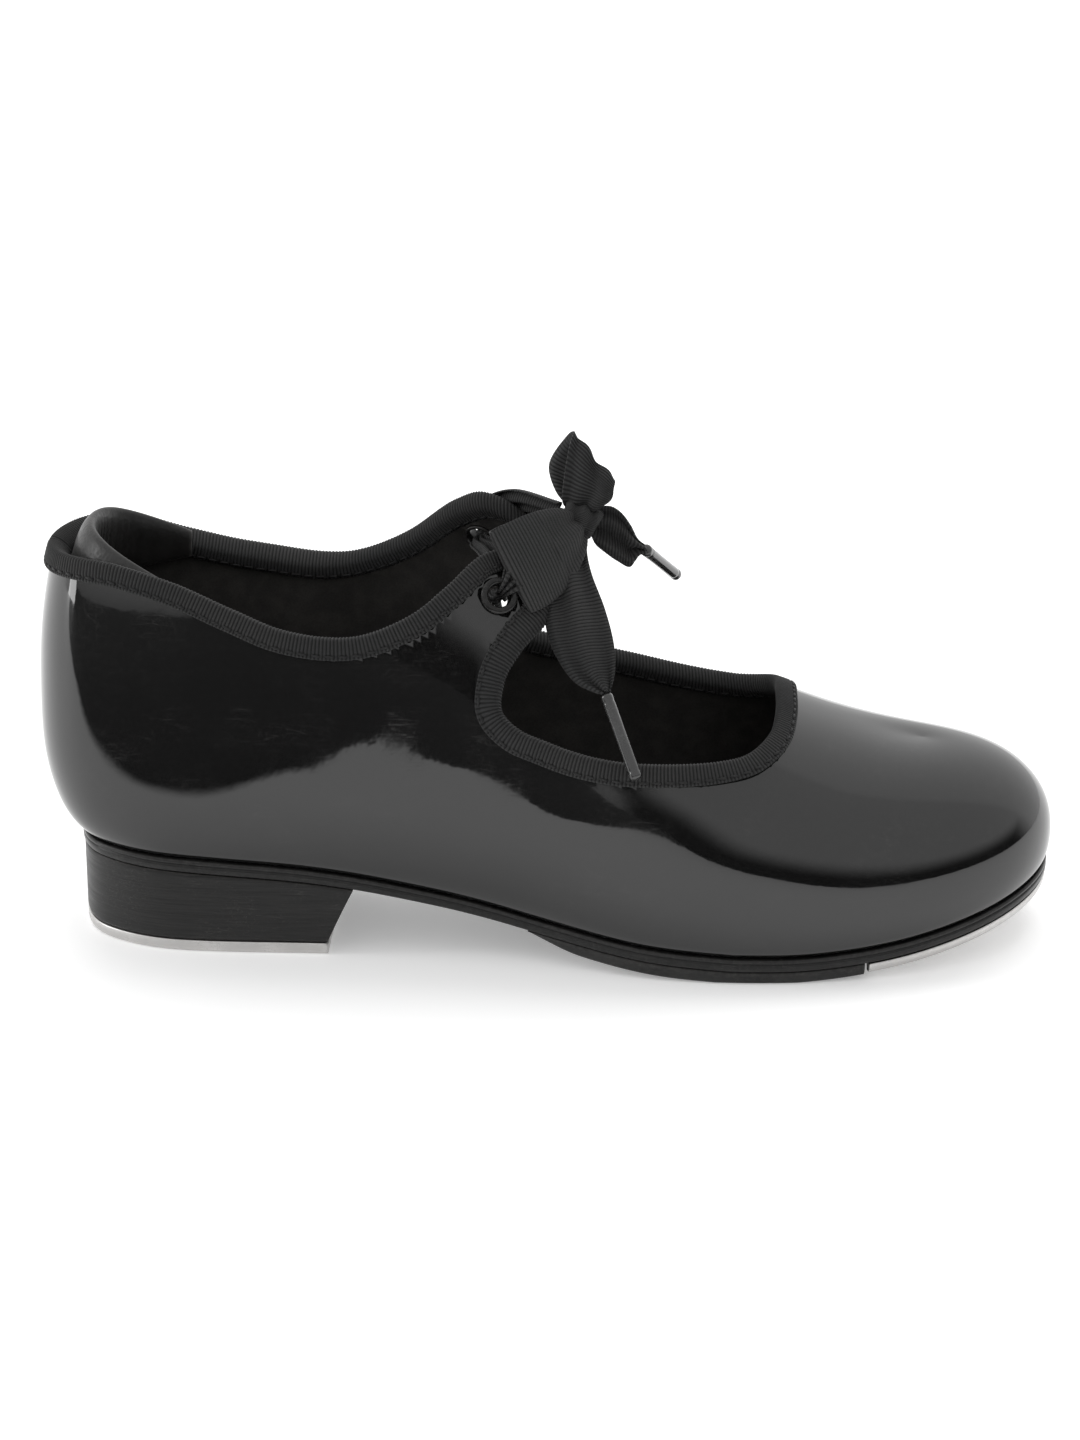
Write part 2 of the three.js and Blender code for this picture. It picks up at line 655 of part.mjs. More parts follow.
// A soft ribbon piece along a path of [x, y, z, width, thickness]; across is the way its width lies.
function ribbonShape(points, across, rows) {
  const places = points.map(([x, y, z]) => new THREE.Vector3(x, y, z));
  const path = new THREE.CatmullRomCurve3(places, false, "centripetal");
  const width = new THREE.Vector3(...across);
  const sizeAt = (t, index) => {
    const place = t * (points.length - 1);
    const i = Math.min(Math.floor(place), points.length - 2);
    return THREE.MathUtils.lerp(points[i][index], points[i + 1][index], place - i);
  };
  const sides = 10;
  return loft(rows, sides, (t, k) => {
    const tangent = path.getTangent(t);
    const wide = width.clone().addScaledVector(tangent, -tangent.dot(width)).normalize();
    const thick = new THREE.Vector3().crossVectors(tangent, wide);
    const turn = (k / sides) * 2 * Math.PI;
    return path.getPoint(t)
      .addScaledVector(wide, (Math.cos(turn) * sizeAt(t, 3)) / 2)
      .addScaledVector(thick, (Math.sin(turn) * sizeAt(t, 4)) / 2);
  }, true, true);
}

// A hard tip crimped on a ribbon end, from start towards a direction.
function agletShape(start, direction) {
  const r = agletDiameter / 2;
  const end = agletLength;
  const profile = [[0, 0], [r * 0.85, 0], [r, 0.8], [r, end - 1.2], [r * 0.6, end], [0, end]];
  const upright = new THREE.Vector3(0, 0, 1);
  const turn = new THREE.Quaternion().setFromUnitVectors(upright, direction.clone().normalize());
  return turned(profile, 14, new THREE.Matrix4().compose(start, turn, new THREE.Vector3(1, 1, 1)));
}

// The tied ribbon. Its points are places over the shoe, chosen for the way the bow lies.
const knotCentre = [133, -3, 105.5];
const knotSize = [4.6, 4.6, 5];
const bow = {
  bow_loop_top: {
    across: [1, 0, 0.1],
    points: [
      [133, -2.6, 110.9, 5, 2.4], [133, -1.4, 115, 14, 5], [132.2, -0.6, 120, 16, 5],
      [131.4, 0, 125.6, 6, 2],
    ],
  },
  bow_loop_lateral: {
    across: [10, -7, -16.6],
    points: [[129.5, -7.6, 106.6, 4, 2.4], [123.5, -17.5, 104.2, 15, 3.6], [118.2, -26.2, 100.6, 18, 3]],
  },
  ribbon_run_lateral: {
    across: [0.8, 0.1, -0.6],
    from: "lateral",
    points: [[121, -19.6, 99.3, 6, 1.2], [129.5, -6, 101.6, 3, 1.4]],
  },
  ribbon_run_medial: {
    across: [1, 0.3, -0.3],
    from: "medial",
    points: [[111.5, 17.5, 107.8, 7, 1.2], [120, 8, 110.4, 8, 1.2], [128.6, -0.6, 107.8, 4, 2]],
  },
  ribbon_cross_run: {
    across: [1, 0, 0.2],
    insideFrom: "lateral",
    insideTo: "medial",
    points: [[111.5, 0, 93, 9, 1.2]],
  },
  ribbon_tail_front: {
    across: [0.9, 0, 0.25],
    points: [
      [133.9, -7.2, 102.4, 4, 2], [136.3, -18, 94, 15, 2.6], [135.7, -24, 82, 17, 2.6],
      [140, -30.4, 71.6, 3.4, 2.4],
    ],
  },
  ribbon_tail_back: {
    across: [0.55, 0, 0.83],
    points: [[138.4, -4, 104.6, 4, 2.4], [143.8, -4.4, 101.6, 12, 4], [147.6, -4.8, 99, 4, 2.8]],
  },
};
const agletPlaces = {
  front: { start: [140.3, -31, 70.9], direction: [8.3, -11.4, -18.3] },
  back: { start: [148.6, -4, 98], direction: [7.5, 16.5, -12] },
};

// Bow places move with the tabs of the upper when the shoe's sizes change.
const tabMiddle = lastPoint(uAt(115), 0.75, 0);
const patternTab = new THREE.Vector3(115, -18, 97.5);
const tabShift = tabMiddle.clone().sub(patternTab);
const knotStandOff = (knotCentre[0] - patternTab.x) * (grade - 1);
const shifted = ([x, y, z, ...rest]) => {
  return [x + tabShift.x + knotStandOff, y + tabShift.y, z + tabShift.z, ...rest];
};

// A ribbon goes through an eyelet bunched up, and turns over its flange.
function throughEyelet(name, depths) {
  const { u, w } = eyeletPlaces[name];
  const { out } = lastFrame(u, w);
  const sizes = [[3.4, 1.2], [3.4, 1.2], [4, 1.2]];
  const place = (depth) => lastPoint(u, w, 0).addScaledVector(out, -depth).toArray();
  return depths.map((depth, i) => [...place(depth), ...sizes[i]]);
}
const outwards = [1, -2.4, -3.8];
const inwards = [1.5, 4.8, 6.6];

function ribbonPoints({ from, insideFrom, insideTo, points }) {
  const start = from ? throughEyelet(from, outwards) : insideFrom ? throughEyelet(insideFrom, inwards) : [];
  const end = insideTo ? throughEyelet(insideTo, inwards).reverse() : [];
  return [...start, ...points.map(shifted), ...end];
}

function knotShape() {
  const knot = new THREE.SphereGeometry(1, 14, 10);
  knot.scale(...knotSize);
  knot.translate(...shifted(knotCentre));
  return weld(knot);
}

// Materials.
const look = (color, roughness, metalness = 0) => {
  return new THREE.MeshStandardMaterial({ color, roughness, metalness });
};
const patent = look(0x0a0a0b, 0.06);
const liningLook = look(0x17130f, 0.75);
const ribbonLook = look(0x26272b, 0.8);
const paddedLook = look(0x2a2827, 0.55);
const boardLook = look(0x5a4632, 0.9);
const sockLook = look(0x1b1815, 0.7);
const rubberLook = look(0x2b2b2c, 0.6);
const stackLook = look(0x1f1e1f, 0.45);
const corkLook = look(0x9a7448, 0.95);
const stiffLook = look(0x6a6250, 0.9);
const steelLook = look(0x8d9095, 0.35, 1);
const aluminiumLook = look(0xc4c2bd, 0.32, 1);
const eyeletLook = look(0x0b0b0b, 0.2, 0.4);
const agletLook = look(0x3c3c3e, 0.3);

const shoe = new THREE.Group();
function add(name, geometry, material) {
  geometry.deleteAttribute("normal");
  geometry.computeVertexNormals();
  const mesh = new THREE.Mesh(geometry, material);
  mesh.name = name;
  shoe.add(mesh);
}

const noPocket = () => 0;
const opening = openingCutter();
const openings = [opening, ...Object.values(eyeletPlaces).map(eyeletHoleCutter)];
add("upper", cut(lastCover(0, upperThickness, noPocket), openings), patent);
add("lining", cut(lastCover(upperThickness + coverGap, liningThickness, liningPocket), openings), liningLook);
add("topline_binding", topBinding(), ribbonLook);
add("heel_collar", collarShape(), paddedLook);
add("heel_counter", stiffenerShape(counterColumn, true, 5), stiffLook);
add("toe_puff", stiffenerShape(puffColumn, false, lowRibs + highRibs - 1), stiffLook);
add("insole_board", cut(insoleShape(), nailHoles), boardLook);
add("sock_liner", sockShape(), sockLook);
add("shank", shankShape(), steelLook);
add("bottom_filler", fillerShape(), corkLook);
add("outsole", cut(outsoleShape(), [...nailHoles, ...toeScrewHoles]), rubberLook);
add("ball_pad", padShape(), rubberLook);
add("heel_block", cut(heelBlockShape(), [...nailHoles, ...heelScrewHoles]), stackLook);
add("heel_tap", cut(heelTapShape(), heelScrewHoles), aluminiumLook);
add("toe_tap", cut(toeTapShape(), toeScrewHoles), aluminiumLook);
heelScrewPlaces.forEach((p, i) => {
  add(`heel_tap_screw_${i + 1}`, screwShape(heelScrewMatrix(p), heelScrewLength), steelLook);
});
toeScrewPlaces.forEach((p, i) => {
  add(`toe_tap_screw_${i + 1}`, screwShape(toeScrewMatrix(p), toeScrewLength), steelLook);
});
nailPlaces.forEach((p, i) => {
  add(`heel_nail_${i + 1}`, turned(nailProfile(), nailSides, nailMatrix(p)), steelLook);
});
Object.entries(eyeletPlaces).forEach(([name, place]) => {
  add(`eyelet_${name}`, eyeletShape(place), eyeletLook);
});

add("bow_knot", knotShape(), ribbonLook);
Object.entries(bow).forEach(([name, piece]) => {
  add(name, ribbonShape(ribbonPoints(piece), piece.across, 14), ribbonLook);
});
Object.entries(agletPlaces).forEach(([name, { start, direction }]) => {
  const place = new THREE.Vector3(...shifted(start));
  add(`aglet_${name}`, agletShape(place, new THREE.Vector3(...direction)), agletLook);
});
shoe.position.x = -(backOfHeel + breastBottom * grade) / 2; // the heel tap's centre is the origin
const object = new THREE.Group();
object.add(shoe);

export default object;
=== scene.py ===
import math
import bpy
import bmesh
import numpy as np
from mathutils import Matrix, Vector


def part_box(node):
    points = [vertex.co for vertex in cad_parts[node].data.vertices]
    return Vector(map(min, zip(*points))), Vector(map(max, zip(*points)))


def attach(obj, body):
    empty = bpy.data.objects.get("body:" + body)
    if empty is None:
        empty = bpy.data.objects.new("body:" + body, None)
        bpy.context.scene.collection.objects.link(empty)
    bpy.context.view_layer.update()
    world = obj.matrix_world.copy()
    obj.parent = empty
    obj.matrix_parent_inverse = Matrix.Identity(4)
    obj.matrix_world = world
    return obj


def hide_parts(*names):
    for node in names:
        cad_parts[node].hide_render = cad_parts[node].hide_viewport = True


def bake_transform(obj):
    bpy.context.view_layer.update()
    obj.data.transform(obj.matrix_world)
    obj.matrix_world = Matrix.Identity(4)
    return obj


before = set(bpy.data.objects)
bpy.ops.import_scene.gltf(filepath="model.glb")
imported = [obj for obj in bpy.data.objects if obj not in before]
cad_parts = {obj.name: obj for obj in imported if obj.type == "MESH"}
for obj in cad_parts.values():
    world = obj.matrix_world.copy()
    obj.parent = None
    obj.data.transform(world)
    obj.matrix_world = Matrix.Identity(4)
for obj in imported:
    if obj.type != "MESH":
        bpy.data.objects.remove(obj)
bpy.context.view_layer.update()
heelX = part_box("upper")[0].x  # the back of the upper is station 0 of the last
mm = 0.001

viewPoint = {"target": (0.08215, 0.0, 0.052), "distance": 0.9, "turn": 3.0, "pitch": 21.0, "lens": 121.9}


def makeCamera(view):
    # stands back from its target along a direction turned about Z and raised by the pitch
    turn, pitch = math.radians(view["turn"]), math.radians(view["pitch"])
    back = Vector((math.sin(turn) * math.cos(pitch), -math.cos(turn) * math.cos(pitch), math.sin(pitch)))
    data = bpy.data.cameras.new("camera")
    data.sensor_fit = "HORIZONTAL"
    data.sensor_width = 36
    data.lens = view["lens"]
    data.clip_end = 50
    camera = bpy.data.objects.new("camera", data)
    camera.location = Vector(view["target"]) + back * view["distance"]
    camera.rotation_euler = back.to_track_quat("Z", "Y").to_euler()
    bpy.context.scene.collection.objects.link(camera)
    bpy.context.scene.camera = camera


makeCamera(viewPoint)
bpy.context.scene.view_settings.view_transform = "Standard"
print("camera set")


def addNode(tree, kind, settings=None, **inputs):
    # inputs are plain values or other nodes' sockets; a name ending in a digit picks the socket by number
    node = tree.nodes.new(kind)
    for key, value in (settings or {}).items():
        setattr(node, key, value)
    for key, value in inputs.items():
        name = key.replace("_", " ")
        socket = node.inputs[int(key[1:])] if key[0] == "i" and key[1:].isdigit() else node.inputs[name]
        if isinstance(value, bpy.types.NodeSocket):
            tree.links.new(value, socket)
        else:
            socket.default_value = value
    return node


def math2(tree, operation, a, b=0.0, clamp=False):
    return addNode(tree, "ShaderNodeMath", {"operation": operation, "use_clamp": clamp}, i0=a,
                   i1=b).outputs[0]


def remap(tree, value, fromLow, fromHigh, toLow=0.0, toHigh=1.0, smooth=False):
    kind = {"interpolation_type": "SMOOTHSTEP"} if smooth else {}
    return addNode(tree, "ShaderNodeMapRange", kind, i0=value, i1=fromLow, i2=fromHigh, i3=toLow,
                   i4=toHigh).outputs[0]


def mixColour(tree, share, a, b):
    node = addNode(tree, "ShaderNodeMix", {"data_type": "RGBA"})
    for index, value in ((0, share), (6, a), (7, b)):
        if isinstance(value, bpy.types.NodeSocket):
            tree.links.new(value, node.inputs[index])
        else:
            node.inputs[index].default_value = value
    return node.outputs[2]


def grey(level, warm=0.0):
    return (level * (1 + warm), level, level * (1 - warm), 1)


def makeGroup(name, inputs, outputs):
    # a node group with named number inputs, each with its start value, and named number outputs
    tree = bpy.data.node_groups.new(name, "ShaderNodeTree")
    for label, value in inputs.items():
        socket = tree.interface.new_socket(label, in_out="INPUT", socket_type="NodeSocketFloat")
        socket.default_value = value
    for label in outputs:
        tree.interface.new_socket(label, in_out="OUTPUT", socket_type="NodeSocketFloat")
    return tree, tree.nodes.new("NodeGroupInput"), tree.nodes.new("NodeGroupOutput")


def useGroup(tree, group, **values):
    node = tree.nodes.new("ShaderNodeGroup")
    node.node_tree = group
    for key, value in values.items():
        socket = node.inputs[key]
        if isinstance(value, bpy.types.NodeSocket):
            tree.links.new(value, socket)
        else:
            socket.default_value = value
    return node


def objectPlace(tree, scale=(1, 1, 1)):
    # object coordinates in millimetres, stretched by scale
    place = addNode(tree, "ShaderNodeTexCoord").outputs["Object"]
    return addNode(tree, "ShaderNodeMapping", Vector=place, Scale=[1000 * s for s in scale]).outputs[0]


def grainGroup():
    # pebbles: distances to scattered points, mixed with finer noise, over a millimetre size
    tree, source, sink = makeGroup("grain", {"Size": 1.0, "Softness": 0.5}, ["Height", "Patches"])
    place = objectPlace(tree)
    scale = math2(tree, "DIVIDE", 1.0, source.outputs["Size"])
    cells = addNode(tree, "ShaderNodeTexVoronoi", {"feature": "SMOOTH_F1"}, Vector=place, Scale=scale,
                    Smoothness=source.outputs["Softness"]).outputs["Distance"]
    fine = addNode(tree, "ShaderNodeTexNoise", Vector=place, Scale=math2(tree, "MULTIPLY", scale, 2.2),
                   Detail=4.0).outputs["Fac"]
    broad = addNode(tree, "ShaderNodeTexNoise", Vector=place, Scale=math2(tree, "MULTIPLY", scale, 0.11),
                    Detail=3.0).outputs["Fac"]
    height = math2(tree, "ADD", math2(tree, "MULTIPLY", cells, 0.7), math2(tree, "MULTIPLY", fine, 0.3))
    tree.links.new(height, sink.inputs["Height"])
    tree.links.new(remap(tree, broad, 0.35, 0.68, smooth=True), sink.inputs["Patches"])
    return tree


def scuffGroup():
    # thin marks: two stretched noises cut to narrow bands, kept where a broad noise is high
    tree, source, sink = makeGroup("scuffs", {"Size": 1.0, "Amount": 0.3}, ["Mask", "Patches"])
    marks = None
    for stretch, turn in (((1, 0.06, 1), 0.4), ((0.07, 1, 1), -0.3)):
        place = addNode(tree, "ShaderNodeMapping", {}, Vector=objectPlace(tree), Rotation=(0, 0, turn),
                        Scale=stretch).outputs[0]
        scale = math2(tree, "DIVIDE", 1.1, source.outputs["Size"])
        noise = addNode(tree, "ShaderNodeTexNoise", Vector=place, Scale=scale, Detail=2.0).outputs["Fac"]
        ridge = math2(tree, "ABSOLUTE", math2(tree, "SUBTRACT", noise, 0.5))
        line = remap(tree, ridge, 0.0, 0.012, 1.0, 0.0)
        marks = line if marks is None else math2(tree, "MAXIMUM", marks, line)
    broad = addNode(tree, "ShaderNodeTexNoise", Vector=objectPlace(tree), Scale=0.07,
                    Detail=3.0).outputs["Fac"]
    patches = remap(tree, broad, 0.42, 0.64, smooth=True)
    mask = math2(tree, "MULTIPLY", math2(tree, "MULTIPLY", marks, patches), source.outputs["Amount"])
    tree.links.new(mask, sink.inputs["Mask"])
    tree.links.new(patches, sink.inputs["Patches"])
    return tree


def weaveGroup():
    # grosgrain: ribs along V at a pitch, crossed by thread bumps along U, both as cosines of the UV map;
    # Shade is painted shade, dark in the gaps and light on the ridges, with a random fuzz tone
    tree, source, sink = makeGroup("ribWeave", {"Pitch": 0.62, "Thread": 0.3}, ["Height", "Shade"])
    uv = addNode(tree, "ShaderNodeSeparateXYZ", i0=addNode(tree, "ShaderNodeTexCoord").outputs["UV"])
    turns = math2(tree, "MULTIPLY", math2(tree, "DIVIDE", uv.outputs[0], source.outputs["Pitch"]),
                  2 * math.pi)
    rib = math2(tree, "MULTIPLY_ADD", math2(tree, "COSINE", turns), 0.5)
    rib.node.inputs[2].default_value = 0.5
    cross = math2(tree, "MULTIPLY", math2(tree, "DIVIDE", uv.outputs[1], source.outputs["Thread"]),
                  2 * math.pi)
    phase = math2(tree, "ADD", cross, math2(tree, "MULTIPLY", turns, 0.5))
    thread = math2(tree, "MULTIPLY_ADD", math2(tree, "COSINE", phase), 0.5)
    thread.node.inputs[2].default_value = 0.5
    fuzz = addNode(tree, "ShaderNodeTexNoise", Vector=objectPlace(tree), Scale=2.6, Detail=3.0).outputs["Fac"]
    height = math2(tree, "ADD", math2(tree, "MULTIPLY", rib, 0.6), math2(tree, "MULTIPLY", thread, 0.28))
    height = math2(tree, "ADD", height, math2(tree, "MULTIPLY", fuzz, 0.25))
    tree.links.new(height, sink.inputs["Height"])
    # painted shade: near black in the rib gaps, full tone on the ridges, times fuzz tone and thread shade
    shade = math2(tree, "MULTIPLY", remap(tree, rib, 0.0, 0.7, 0.08, 1.0),
                  remap(tree, fuzz, 0.3, 0.7, 0.75, 1.15))
    tree.links.new(math2(tree, "MULTIPLY", shade, remap(tree, thread, 0.0, 1.0, 0.8, 1.1)),
                   sink.inputs["Shade"])
    return tree


def layerGroup():
    # flat layers: noise stretched wide in X and Y and narrow in Z
    tree, source, sink = makeGroup("stackLines", {"Spacing": 0.35}, ["Height", "Shade"])
    place = addNode(tree, "ShaderNodeMapping", Vector=objectPlace(tree), Scale=(0.035, 0.035, 1)).outputs[0]
    scale = math2(tree, "DIVIDE", 1.0, source.outputs["Spacing"])
    lines = addNode(tree, "ShaderNodeTexNoise", Vector=place, Scale=scale, Detail=5.0,
                    Roughness=0.65).outputs["Fac"]
    tree.links.new(lines, sink.inputs["Height"])
    tree.links.new(remap(tree, lines, 0.3, 0.7, 0.55, 1.35), sink.inputs["Shade"])
    return tree


def dustGroup():
    # fine settled specks: more on faces that look up, broken by noise
    tree, source, sink = makeGroup("dust", {"Amount": 0.1}, ["Mask"])
    up = addNode(tree, "ShaderNodeSeparateXYZ",
                 i0=addNode(tree, "ShaderNodeNewGeometry").outputs["Normal"]).outputs[2]
    speck = addNode(tree, "ShaderNodeTexNoise", Vector=objectPlace(tree), Scale=1.7, Detail=6.0,
                    Roughness=0.75).outputs["Fac"]
    mask = math2(tree, "MULTIPLY", remap(tree, up, -0.2, 1.0, 0.25, 1.0), remap(tree, speck, 0.52, 0.78))
    tree.links.new(math2(tree, "MULTIPLY", mask, source.outputs["Amount"]), sink.inputs["Mask"])
    return tree


def wearGroup():
    # worn corners: how sharply the surface turns outward, broken by noise
    tree, source, sink = makeGroup("edgeWear", {"Start": 0.52, "Amount": 0.5}, ["Mask"])
    point = addNode(tree, "ShaderNodeNewGeometry").outputs["Pointiness"]
    rough = addNode(tree, "ShaderNodeTexNoise", Vector=objectPlace(tree), Scale=0.9,
                    Detail=4.0).outputs["Fac"]
    end = math2(tree, "ADD", source.outputs["Start"], 0.06)
    turned = remap(tree, point, source.outputs["Start"], end)
    mask = math2(tree, "MULTIPLY", turned, remap(tree, rough, 0.35, 0.65, 0.3, 1.0))
    tree.links.new(math2(tree, "MULTIPLY", mask, source.outputs["Amount"]), sink.inputs["Mask"])
    return tree


grain, scuffs, ribWeave = grainGroup(), scuffGroup(), weaveGroup()
stackLines, dust, edgeWear = layerGroup(), dustGroup(), wearGroup()
print("shared effects built")


def newMaterial(name, **settings):
    # a Principled material; settings go straight on the shader's own sockets
    material = bpy.data.materials.new(name)
    material.use_nodes = True
    tree = material.node_tree
    shader = tree.nodes["Principled BSDF"]
    for key, value in settings.items():
        shader.inputs[key.replace("_", " ")].default_value = value
    return material, tree, shader


def bumpInto(tree, shader, height, strength, distance):
    bump = addNode(tree, "ShaderNodeBump", Height=height, Strength=strength, Distance=distance * mm)
    tree.links.new(bump.outputs[0], shader.inputs["Normal"])


def patentLeather(name, base=0.006, rough=0.035):
    # lacquer over black leather: a mirror with a faint orange peel, hair marks and dust
    material, tree, shader = newMaterial(name, IOR=1.62, Coat_Weight=0.0)
    peel = addNode(tree, "ShaderNodeTexNoise", Vector=objectPlace(tree), Scale=0.22,
                   Detail=2.0).outputs["Fac"]
    pores = useGroup(tree, grain, Size=0.7, Softness=0.8)
    marks = useGroup(tree, scuffs, Size=2.2, Amount=0.22)
    film = useGroup(tree, dust, Amount=0.1)
    height = math2(tree, "ADD", math2(tree, "MULTIPLY", peel, 1.0),
                   math2(tree, "MULTIPLY", pores.outputs[0], 0.0003))
    bumpInto(tree, shader, height, 0.05, 0.3)
    dull = math2(tree, "ADD", math2(tree, "MULTIPLY", marks.outputs["Mask"], 0.35), film.outputs[0])
    level = math2(tree, "ADD", remap(tree, marks.outputs["Patches"], 0, 1, rough, rough + 0.03), dull)
    tree.links.new(level, shader.inputs["Roughness"])
    colour = mixColour(tree, dull, grey(base), grey(0.16, 0.03))
    tree.links.new(colour, shader.inputs["Base Color"])
    return material


def grainedLeather(name, base, warm, rough, size=0.8, depth=0.12, sheen=0.0):
    # leather with pebbled pores, lighter patches, worn corners and a little dust
    material, tree, shader = newMaterial(name, Sheen_Weight=sheen, Sheen_Roughness=0.4)
    pores = useGroup(tree, grain, Size=size)
    worn = useGroup(tree, edgeWear, Start=0.53, Amount=0.4)
    film = useGroup(tree, dust, Amount=0.12)
    dark = mixColour(tree, pores.outputs["Patches"], grey(base * 0.75, warm), grey(base * 1.3, warm))
    lit = mixColour(tree, math2(tree, "ADD", worn.outputs[0], film.outputs[0]), dark, grey(0.22, 0.05))
    tree.links.new(lit, shader.inputs["Base Color"])
    tree.links.new(remap(tree, pores.outputs[0], 0.1, 0.6, rough + 0.12, rough - 0.06),
                   shader.inputs["Roughness"])
    bumpInto(tree, shader, pores.outputs[0], 0.6, depth)
    return material


def ribbedCloth(name, base, pitch, depth=0.16, thread=0.3):
    # grosgrain ribbon: rib and thread relief with a soft sheen, lint and painted shade in the rib gaps
    material, tree, shader = newMaterial(name, Sheen_Weight=0.05, Sheen_Roughness=0.4, IOR=1.33)
    weave = useGroup(tree, ribWeave, Pitch=pitch, Thread=thread)
    lint = useGroup(tree, dust, Amount=0.07)
    pores = useGroup(tree, grain, Size=3.0)
    tone = mixColour(tree, pores.outputs["Patches"], grey(base * 0.85, -0.02), grey(base * 1.12, 0.01))
    # painted shade: the weave's Shade mixes the tone down to about a fifth of the base in the rib gaps
    shaded = mixColour(tree, weave.outputs["Shade"], grey(base * 0.22), tone)
    tree.links.new(mixColour(tree, lint.outputs[0], shaded, grey(0.2)), shader.inputs["Base Color"])
    tree.links.new(remap(tree, weave.outputs["Height"], 0.1, 0.9, 0.85, 0.55), shader.inputs["Roughness"])
    bumpInto(tree, shader, weave.outputs["Height"], 0.8, depth)
    return material


def rubberFinish(name, base, rough, size=0.5):
    # moulded rubber: fine pitting, scuffs and settled dust
    material, tree, shader = newMaterial(name, IOR=1.37)
    pits = useGroup(tree, grain, Size=size)
    marks = useGroup(tree, scuffs, Size=1.4, Amount=0.5)
    worn = useGroup(tree, edgeWear, Start=0.52, Amount=0.35)
    film = useGroup(tree, dust, Amount=0.15)
    dark = mixColour(tree, pits.outputs["Patches"], grey(base * 0.8), grey(base * 1.2, 0.02))
    light = math2(tree, "ADD", math2(tree, "MULTIPLY", marks.outputs["Mask"], 0.4),
                  math2(tree, "ADD", worn.outputs[0], film.outputs[0]), clamp=True)
    tree.links.new(mixColour(tree, light, dark, grey(0.1, 0.03)), shader.inputs["Base Color"])
    tree.links.new(remap(tree, marks.outputs["Patches"], 0, 1, rough - 0.05, rough + 0.08),
                   shader.inputs["Roughness"])
    bumpInto(tree, shader, pits.outputs[0], 0.5, 0.06)
    return material


def stackedLeather(name):
    # blackened edges of the leather lifts: flat lines, wax in patches, worn corners
    material, tree, shader = newMaterial(name, IOR=1.36)
    lines = useGroup(tree, stackLines, Spacing=0.42)
    worn = useGroup(tree, edgeWear, Start=0.53, Amount=0.3)
    marks = useGroup(tree, scuffs, Size=1.8, Amount=0.35)
    base = mixColour(tree, remap(tree, lines.outputs["Shade"], 0.5, 1.4), grey(0.005), grey(0.018, 0.02))
    light = math2(tree, "ADD", worn.outputs[0], math2(tree, "MULTIPLY", marks.outputs["Mask"], 0.4),
                  clamp=True)
    tree.links.new(mixColour(tree, light, base, grey(0.14, 0.06)), shader.inputs["Base Color"])
    tree.links.new(remap(tree, lines.outputs["Height"], 0.3, 0.7, 0.34, 0.5), shader.inputs["Roughness"])
    bumpInto(tree, shader, lines.outputs["Height"], 0.7, 0.12)
    return material


def brushedMetal(name, base, warm, rough, spacing=0.25):
    # metal with flat brush lines, scratches, brighter corners and dull patches
    material, tree, shader = newMaterial(name, Metallic=1.0)
    lines = useGroup(tree, stackLines, Spacing=spacing)
    marks = useGroup(tree, scuffs, Size=1.0, Amount=0.8)
    worn = useGroup(tree, edgeWear, Start=0.515, Amount=0.5)
    body = mixColour(tree, marks.outputs["Patches"], grey(base * 0.93, warm), grey(base * 1.05, warm))
    dulled = mixColour(tree, marks.outputs["Mask"], body, grey(base * 0.55, warm))
    tree.links.new(mixColour(tree, worn.outputs[0], dulled, grey(0.85, 0.01)), shader.inputs["Base Color"])
    level = remap(tree, lines.outputs["Height"], 0.3, 0.7, rough - 0.06, rough + 0.1)
    tree.links.new(math2(tree, "ADD", level, math2(tree, "MULTIPLY", marks.outputs["Mask"], 0.2)),
                   shader.inputs["Roughness"])
    bumpInto(tree, shader, lines.outputs["Height"], 0.35, 0.04)
    return material


def fibreBoard(name, base, warm, size):
    # pressed board or cork: crumbs of two tones with small pits
    material, tree, shader = newMaterial(name, Roughness=0.85, Specular_IOR_Level=0.2)
    crumbs = useGroup(tree, grain, Size=size, Softness=0.1)
    spots = remap(tree, crumbs.outputs["Height"], 0.15, 0.5)
    colour = mixColour(tree, spots, grey(base * 0.6, warm), grey(base * 1.2, warm))
    stained = mixColour(tree, math2(tree, "MULTIPLY", crumbs.outputs["Patches"], 0.3), colour,
                        grey(base * 0.5, warm))
    tree.links.new(stained, shader.inputs["Base Color"])
    bumpInto(tree, shader, crumbs.outputs["Height"], 0.7, 0.2)
    return material


def clearTip(name):
    # smoked plastic tube with long mould lines and handling marks
    material, tree, shader = newMaterial(name, IOR=1.5, Coat_Weight=0.6, Coat_Roughness=0.08)
    marks = useGroup(tree, scuffs, Size=0.8, Amount=0.35)
    film = useGroup(tree, dust, Amount=0.08)
    mask = math2(tree, "ADD", marks.outputs["Mask"], film.outputs[0], clamp=True)
    tree.links.new(mixColour(tree, mask, grey(0.018), grey(0.14)), shader.inputs["Base Color"])
    tree.links.new(remap(tree, marks.outputs["Patches"], 0, 1, 0.16, 0.3), shader.inputs["Roughness"])
    bumpInto(tree, shader, marks.outputs["Mask"], 0.3, 0.03)
    return material


